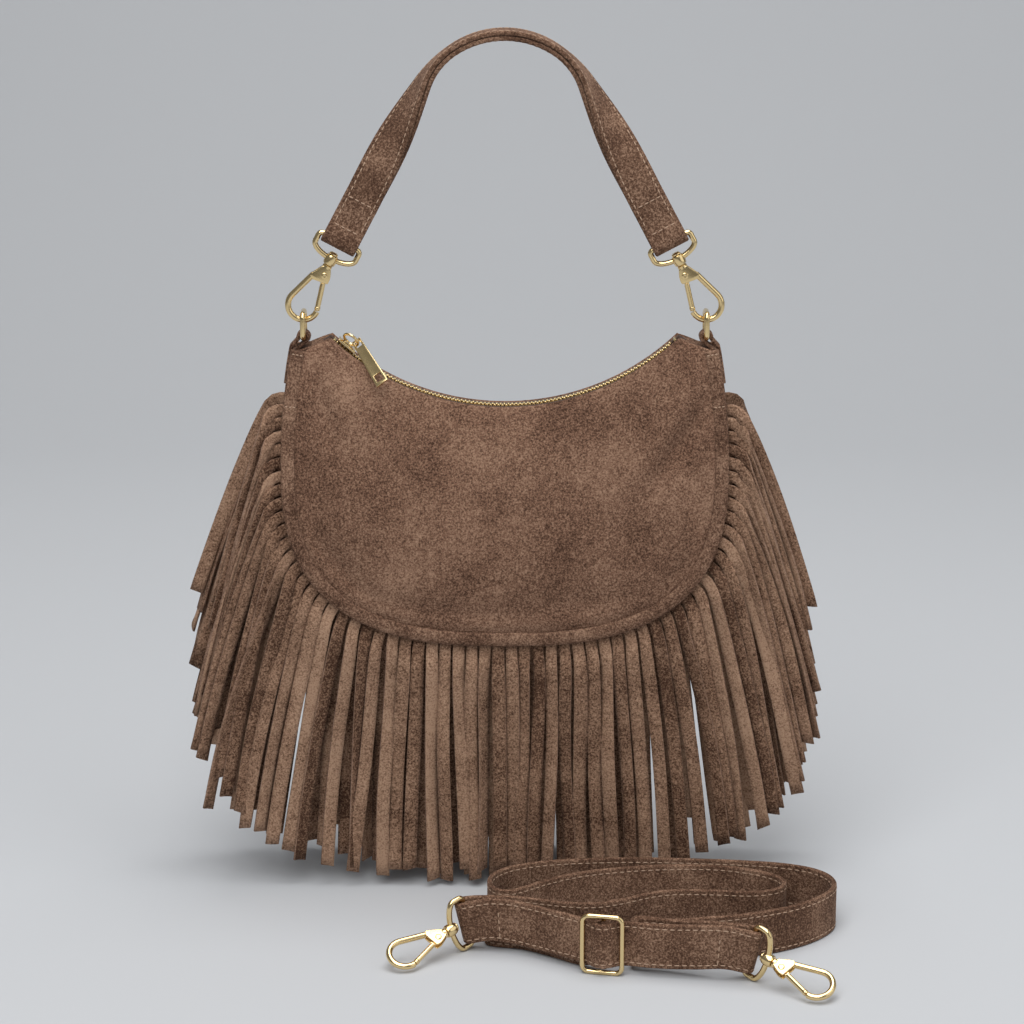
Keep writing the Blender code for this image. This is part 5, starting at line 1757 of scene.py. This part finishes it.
@dataclass
class Strap:
    """The loose strap: its route on the floor, its eyes, hooks and slide adjuster."""

    hooks: HookMaker
    height: float = 24 * MM
    sheet: float = 2.6 * MM
    left_bar: Pair = (-0.0195, -0.1170)
    right_bar: Pair = (0.1245, -0.1550)
    left_turn: float = math.radians(217)
    right_turn: float = math.radians(-37)
    dip: float = math.radians(15)
    roll: float = math.radians(63)
    adjuster: Pair = (0.0496, -0.1480)
    adjuster_turn: float = math.radians(-12)
    frame_half: Pair = (11.55 * MM, 16.5 * MM)
    frame_wire: float = 1.3 * MM
    bar_wire: float = 1.1 * MM
    bar_back: float = 3.6 * MM
    slack: float = 0.9 * MM
    lean_reach: float = 0.035
    front: tuple[Pair, ...] = (
        (-0.008, -0.1199), (0.004, -0.1216), (0.016, -0.1266), (0.028, -0.1345),
    )
    right: tuple[Pair, ...] = (
        (0.072, -0.1498), (0.084, -0.1516), (0.098, -0.1540), (0.112, -0.1565),
    )
    back: tuple[Pair, ...] = (
        (0.112, -0.1532), (0.103, -0.1505), (0.092, -0.1466), (0.080, -0.1435), (0.070, -0.1425),
        (0.0655, -0.1405), (0.0665, -0.1365), (0.072, -0.1350),
    )
    coil: tuple[Pair, ...] = (
        (0.086, -0.1335), (0.104, -0.1308), (0.124, -0.1262), (0.146, -0.1172), (0.163, -0.1045),
        (0.173, -0.0895), (0.1730, -0.0755), (0.165, -0.0645), (0.150, -0.0573), (0.128, -0.0530),
        (0.100, -0.0502), (0.070, -0.0487), (0.040, -0.0503), (0.018, -0.0545), (0.002, -0.0620),
        (-0.0065, -0.0725), (-0.0078, -0.0840), (-0.0040, -0.0925), (0.0030, -0.0940), (0.011, -0.0890),
        (0.022, -0.0800), (0.035, -0.0718), (0.051, -0.0655), (0.076, -0.0602), (0.100, -0.0587),
        (0.118, -0.0605), (0.134, -0.0665), (0.1450, -0.0750), (0.1475, -0.0845), (0.1420, -0.0925),
        (0.129, -0.0960), (0.110, -0.0945), (0.090, -0.0940), (0.076, -0.0980), (0.062, -0.1060),
        (0.048, -0.1115), (0.034, -0.1110), (0.020, -0.1072), (0.008, -0.1036), (-0.002, -0.1022),
        (-0.0085, -0.1050), (-0.0085, -0.1105), (-0.002, -0.1135), (0.008, -0.1155), (0.019, -0.1215),
        (0.029, -0.1288), (0.038, -0.1355),
    )

    @property
    def eye_height(self) -> float:
        """Height of the middle of an eye's leaning bar.

        Returns:
            Its height over the floor.
        """
        half = self.height / 2 + self.hooks.eye_play + self.hooks.eye_wire
        rise = self.hooks.eye_straight * math.sin(self.dip)
        return half * math.cos(self.dip) + rise + self.hooks.eye_wire + GAP

    def axes(self, turn: float) -> tuple[Vector, Vector]:
        """Directions of a strap hook.

        Args:
            turn: Its bearing on the floor.

        Returns:
            The direction that it points in and the direction of its eye's bar.
        """
        level = Vector((math.cos(turn), math.sin(turn), 0))
        out = level * math.cos(self.dip) - UP * math.sin(self.dip)
        return out, level * math.sin(self.dip) + UP * math.cos(self.dip)

    def adjuster_axes(self) -> tuple[Vector, Vector, Vector]:
        """Middle of the adjuster on the plan, its direction and the way it faces back."""
        along = Vector((math.cos(self.adjuster_turn), math.sin(self.adjuster_turn), 0))
        return Vector((*self.adjuster, 0)), along, Vector((-along.y, along.x, 0))

    @staticmethod
    def round_bar(
        centre: Vector, start: float, sweep: float, radius: float, steps: int, z: float
    ) -> list[tuple[Vector, float]]:
        """Plan points round an upright bar.

        Args:
            centre: The bar on the plan.
            start: Angle of the first point in degrees.
            sweep: Angle to the last point.
            radius: Distance from the bar.
            steps: Number of steps.
            z: Height of the points.

        Returns:
            Points on the plan, each with its height.
        """
        return [(centre + Vector((a, b, 0)), z) for a, b in arc_points(radius, start, sweep, steps)]

    def route(self) -> list[Vector]:
        """Middle line of the whole band, from the sewn tail to the adjuster's bar.

        Returns:
            Its points, in order.
        """
        centre, along, back = self.adjuster_axes()
        wire = self.hooks.eye_wire
        wrap = wire + GAP + self.sheet / 2
        behind = self.frame_wire + GAP + self.sheet / 2 + self.slack
        fold = self.bar_wire + GAP + self.sheet / 2
        over = fold + self.sheet + self.slack - self.bar_back
        frame_z, coil_z, eye_z = self.frame_half[1], self.height / 2 + GAP, self.eye_height
        left, right = Vector((*self.left_bar, 0)), Vector((*self.right_bar, 0))
        route: list[tuple[Vector, float]] = []
        for part in (1.0, 0.75, 0.5, 0.25):
            away = 20 * MM * part
            offset = Band.layer(away, self.sheet, wire) - 0.09 * away
            route.append((left + Vector((away, offset, 0)), eye_z))
        route += self.round_bar(left, 90, 180, wrap, 4, eye_z)
        route += [(Vector((*pair, 0)), eye_z) for pair in self.front]
        outer_bar = along * (self.frame_half[0] - self.frame_wire)
        route.append((centre - outer_bar + back * behind, frame_z))
        route.append((centre - back * over, frame_z))
        route.append((centre + outer_bar + back * behind, frame_z))
        route += [(Vector((*pair, 0)), eye_z) for pair in self.right]
        route += self.round_bar(right, -100, 195, wrap, 4, eye_z)
        route += [(Vector((*pair, 0)), eye_z) for pair in self.back[:5]]
        route += [(Vector((*pair, 0)), (eye_z + coil_z) / 2) for pair in self.back[5:]]
        route += [(Vector((*pair, 0)), coil_z) for pair in self.coil]
        bar = centre + back * self.bar_back
        route.append((bar - along * (fold * 1.6) + back * (fold * 1.1), (coil_z + frame_z) / 2))
        turn = math.degrees(self.adjuster_turn) + 90
        route += self.round_bar(bar, turn, -190, fold, 5, frame_z)
        return [point + UP * (z + (self.rise(point) if z == eye_z else 0.0)) for point, z in route]

    def rise(self, point: Vector) -> float:
        """How far the band climbs behind each leaning bar, so that it stays square to it.

        Args:
            point: A point of the band on the plan.

        Returns:
            The climb there.
        """
        total = 0.0
        for bar, turn in ((self.left_bar, self.left_turn), (self.right_bar, self.right_turn)):
            away = point - Vector((*bar, 0))
            near = 1 - smoothstep(away.length / self.lean_reach)
            behind = -(away.x * math.cos(turn) + away.y * math.sin(turn))
            total += math.tan(self.dip) * behind * near
        return total

    def path(self) -> list[Station]:
        """Smooth stations of the band with the direction across each.

        The band's upright edge leans with an eye's bar near it and is plumb elsewhere.

        Returns:
            Stations about 1.6 mm apart.
        """
        points = self.route()
        dense: list[Vector] = []
        for index in range(len(points) - 1):
            before, first = points[max(index - 1, 0)], points[index]
            second, after = points[index + 1], points[min(index + 2, len(points) - 1)]
            steps = max(3, int((second - first).length / (1.6 * MM)))
            for step in range(steps):
                t = step / steps
                m0, m1 = (second - before) * 0.5, (after - first) * 0.5
                a, b = 2 * t**3 - 3 * t**2 + 1, t**3 - 2 * t**2 + t
                dense.append(first * a + m0 * b + second * (1 - a) + m1 * (t**3 - t**2))
        dense.append(points[-1])
        reach = reaches(dense)
        leans = []
        for bar, turn in ((self.left_bar, self.left_turn), (self.right_bar, self.right_turn)):
            near = [r for p, r in zip(dense, reach) if math.dist(p[:2], bar) < 4.4 * MM]
            leans.append(((near[0] + near[-1]) / 2, self.axes(turn)[1]))
        path = []
        for point, length in zip(dense, reach):
            across = UP
            for middle, lean in leans:
                across = across.lerp(lean, 1 - smoothstep(abs(length - middle) / self.lean_reach))
            path.append((point, across.normalized()))
        return path

    def build(self) -> None:
        """Build the band, its stitches, the adjuster and both hooks."""
        path = self.path()
        rings = Band.rings(path, self.height, self.sheet, groove=0.45 * MM)
        MESHER.suede("strap_band", MESHER.loft(rings), [STRAP_SUEDE], "suede_strap")
        stitches = Stitching(pitch=3.9 * MM, length=2.7 * MM)
        for run in Band.edge_runs(path, self.height, self.sheet):
            stitches.run(run)
        self.cross_rows(stitches, path)
        stitches.place("strap_stitches", "bag", "suede_strap")
        self.build_adjuster()
        for side, bar, turn, roll in (
            ("left", self.left_bar, self.left_turn, -self.roll),
            ("right", self.right_bar, self.right_turn, self.roll),
        ):
            out, lean = self.axes(turn)
            bar_point = Vector((*bar, self.eye_height))
            frame = self.hooks.frame(bar_point + out * self.hooks.eye_bar, lean, -out)
            bodies = (f"{side}_strap_eye", f"{side}_strap_hook", f"{side}_strap_gate")
            self.hooks.build_set(f"strap_{side}", bodies, frame, self.height, roll)

    def cross_rows(self, stitches: Stitching, path: list[Station]) -> None:
        """Upright rows of stitches that close the folds round the eyes.

        Args:
            stitches: Gathers the stitches.
            path: Stations of the band.
        """
        for target in ((-0.0035, -0.1208), (0.1085, -0.1560)):
            index = min(range(4, len(path) - 4), key=lambda i: math.dist(path[i][0][:2], target))
            point, across = path[index]
            facing = (path[index + 1][0] - path[index - 1][0]).cross(across).normalized()
            facing = facing if facing.y < 0 else -facing
            row = []
            for part in (-0.40, 0.0, 0.40):
                row.append((point + across * (self.height * part) + facing * (self.sheet / 2), facing))
            stitches.run(row)

    def build_adjuster(self) -> None:
        """Rounded frame and the middle bar that the inner end is sewn round."""
        centre, along, back = self.adjuster_axes()
        half_w, half_h = (half - self.frame_wire for half in self.frame_half)
        middle = centre + UP * self.frame_half[1]
        points = [middle + along * p + UP * q for p, q in rounded_frame(half_w, half_h, 3.5 * MM)]
        MESHER.metal("adjuster_frame", MESHER.tube(points, self.frame_wire, True), "bag")
        foot = middle + back * self.bar_back
        reach = half_h - self.frame_wire - GAP
        line = [foot + UP * (reach * part) for part in (-1, -0.5, 0, 0.5, 1)]
        MESHER.metal("adjuster_bar", MESHER.tube(line, self.bar_wire), "bag")


# Studio


@dataclass
class Studio:
    """Camera, lights and backdrop of the photograph."""

    distance: float = 1.6
    elevation: float = math.radians(15)
    target: Vector = field(default_factory=lambda: Vector((0.0038, 0, 0.2044)) + STAND)
    lens: float = 104.17

    def build(self) -> None:
        """Set up the camera, the backdrop, the lights and the plain view transform."""
        self.camera()
        self.backdrop()
        self.lights()
        bpy.context.scene.view_settings.view_transform = "Standard"

    def camera(self) -> None:
        """A long lens at the photograph's height."""
        data = bpy.data.cameras.new("camera")
        data.lens = self.lens
        data.sensor_width = 36.0
        made = bpy.data.objects.new("camera", data)
        back = Vector((0, -math.cos(self.elevation), math.sin(self.elevation)))
        made.location = self.target + back * self.distance
        made.rotation_euler = (math.pi / 2 - self.elevation, 0, 0)
        bpy.context.scene.collection.objects.link(made)
        bpy.context.scene.camera = made

    def backdrop(self) -> None:
        """A plain pale sweep: floor, curve and wall in one sheet."""
        profile = [(-3.0, 0.0), (1.0, 0.0)]
        profile += [(1.0 + a, 1.2 + b) for a, b in arc_points(1.2, -90, 90, 16)[1:]]
        profile.append((2.2, 4.0))
        rows = [[Vector((x, y, z)) for x in (-4.0, 0.0, 4.0)] for y, z in profile]
        bm = MESHER.grid(rows)
        bmesh.ops.reverse_faces(bm, faces=bm.faces)
        for one in bm.faces:
            one.smooth = True
        MESHER.link("backdrop", bm, [PAPER])

    def lights(self) -> None:
        """Large soft lights above, left and right, and a weak even fill."""
        for name, spot, size, power in (
            ("key_light", Vector((-0.45, -1.75, 2.2)), 1.9, 42.0),
            ("fill_light", Vector((1.9, -1.1, 1.3)), 2.2, 13.0),
            ("top_light", Vector((0.1, 0.0, 2.4)), 1.8, 40.0),
        ):
            data = bpy.data.lights.new(name, "AREA")
            data.shape = "SQUARE"
            data.size = size
            data.energy = power
            made = bpy.data.objects.new(name, data)
            made.location = spot
            aim = Vector((0, 0, 0.2)) - spot
            made.rotation_euler = aim.to_track_quat("-Z", "Y").to_euler()
            bpy.context.scene.collection.objects.link(made)
        world = bpy.data.worlds.new("studio")
        bpy.context.scene.world = world
        world.use_nodes = True
        shade = world.node_tree.nodes["Background"]
        shade.inputs["Color"].default_value = linear("D8D9DA")
        shade.inputs["Strength"].default_value = 0.26


def corners(box: Any) -> list[list[float]]:
    """Plain numbers from a pair of corners."""
    return [[float(number) for number in corner] for corner in box]


def main() -> None:
    """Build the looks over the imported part."""
    logging.basicConfig(level=logging.INFO, format="%(name)s: %(message)s")
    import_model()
    hooks = HookMaker()
    handle = Handle(hooks)
    SuedeBody().build()
    FringeRow("fringe_front", Face.FRONT, 2.9 * MM, 4.2 * MM, False, 11).build()
    under_fan, back_fan = math.radians(16), math.radians(22)
    FringeRow("fringe_under", Face.FRONT, 4.4 * MM, -3.0 * MM, True, 23, 1.32, fan=under_fan).build()
    FringeRow("fringe_back", Face.BACK, 2.9 * MM, 4.2 * MM, False, 37, 1.1, fan=back_fan).build()
    Zip().build()
    hooks.rings()
    for side in Side:
        name = side.name.lower()
        bodies = ("handle", f"{name}_handle_hook", f"{name}_handle_gate")
        hooks.build_set(f"handle_{name}", bodies, hooks.handle_frame(side), handle.width)
    handle.build()
    Strap(hooks).build()
    Studio().build()


if __name__ == "__main__":
    main()
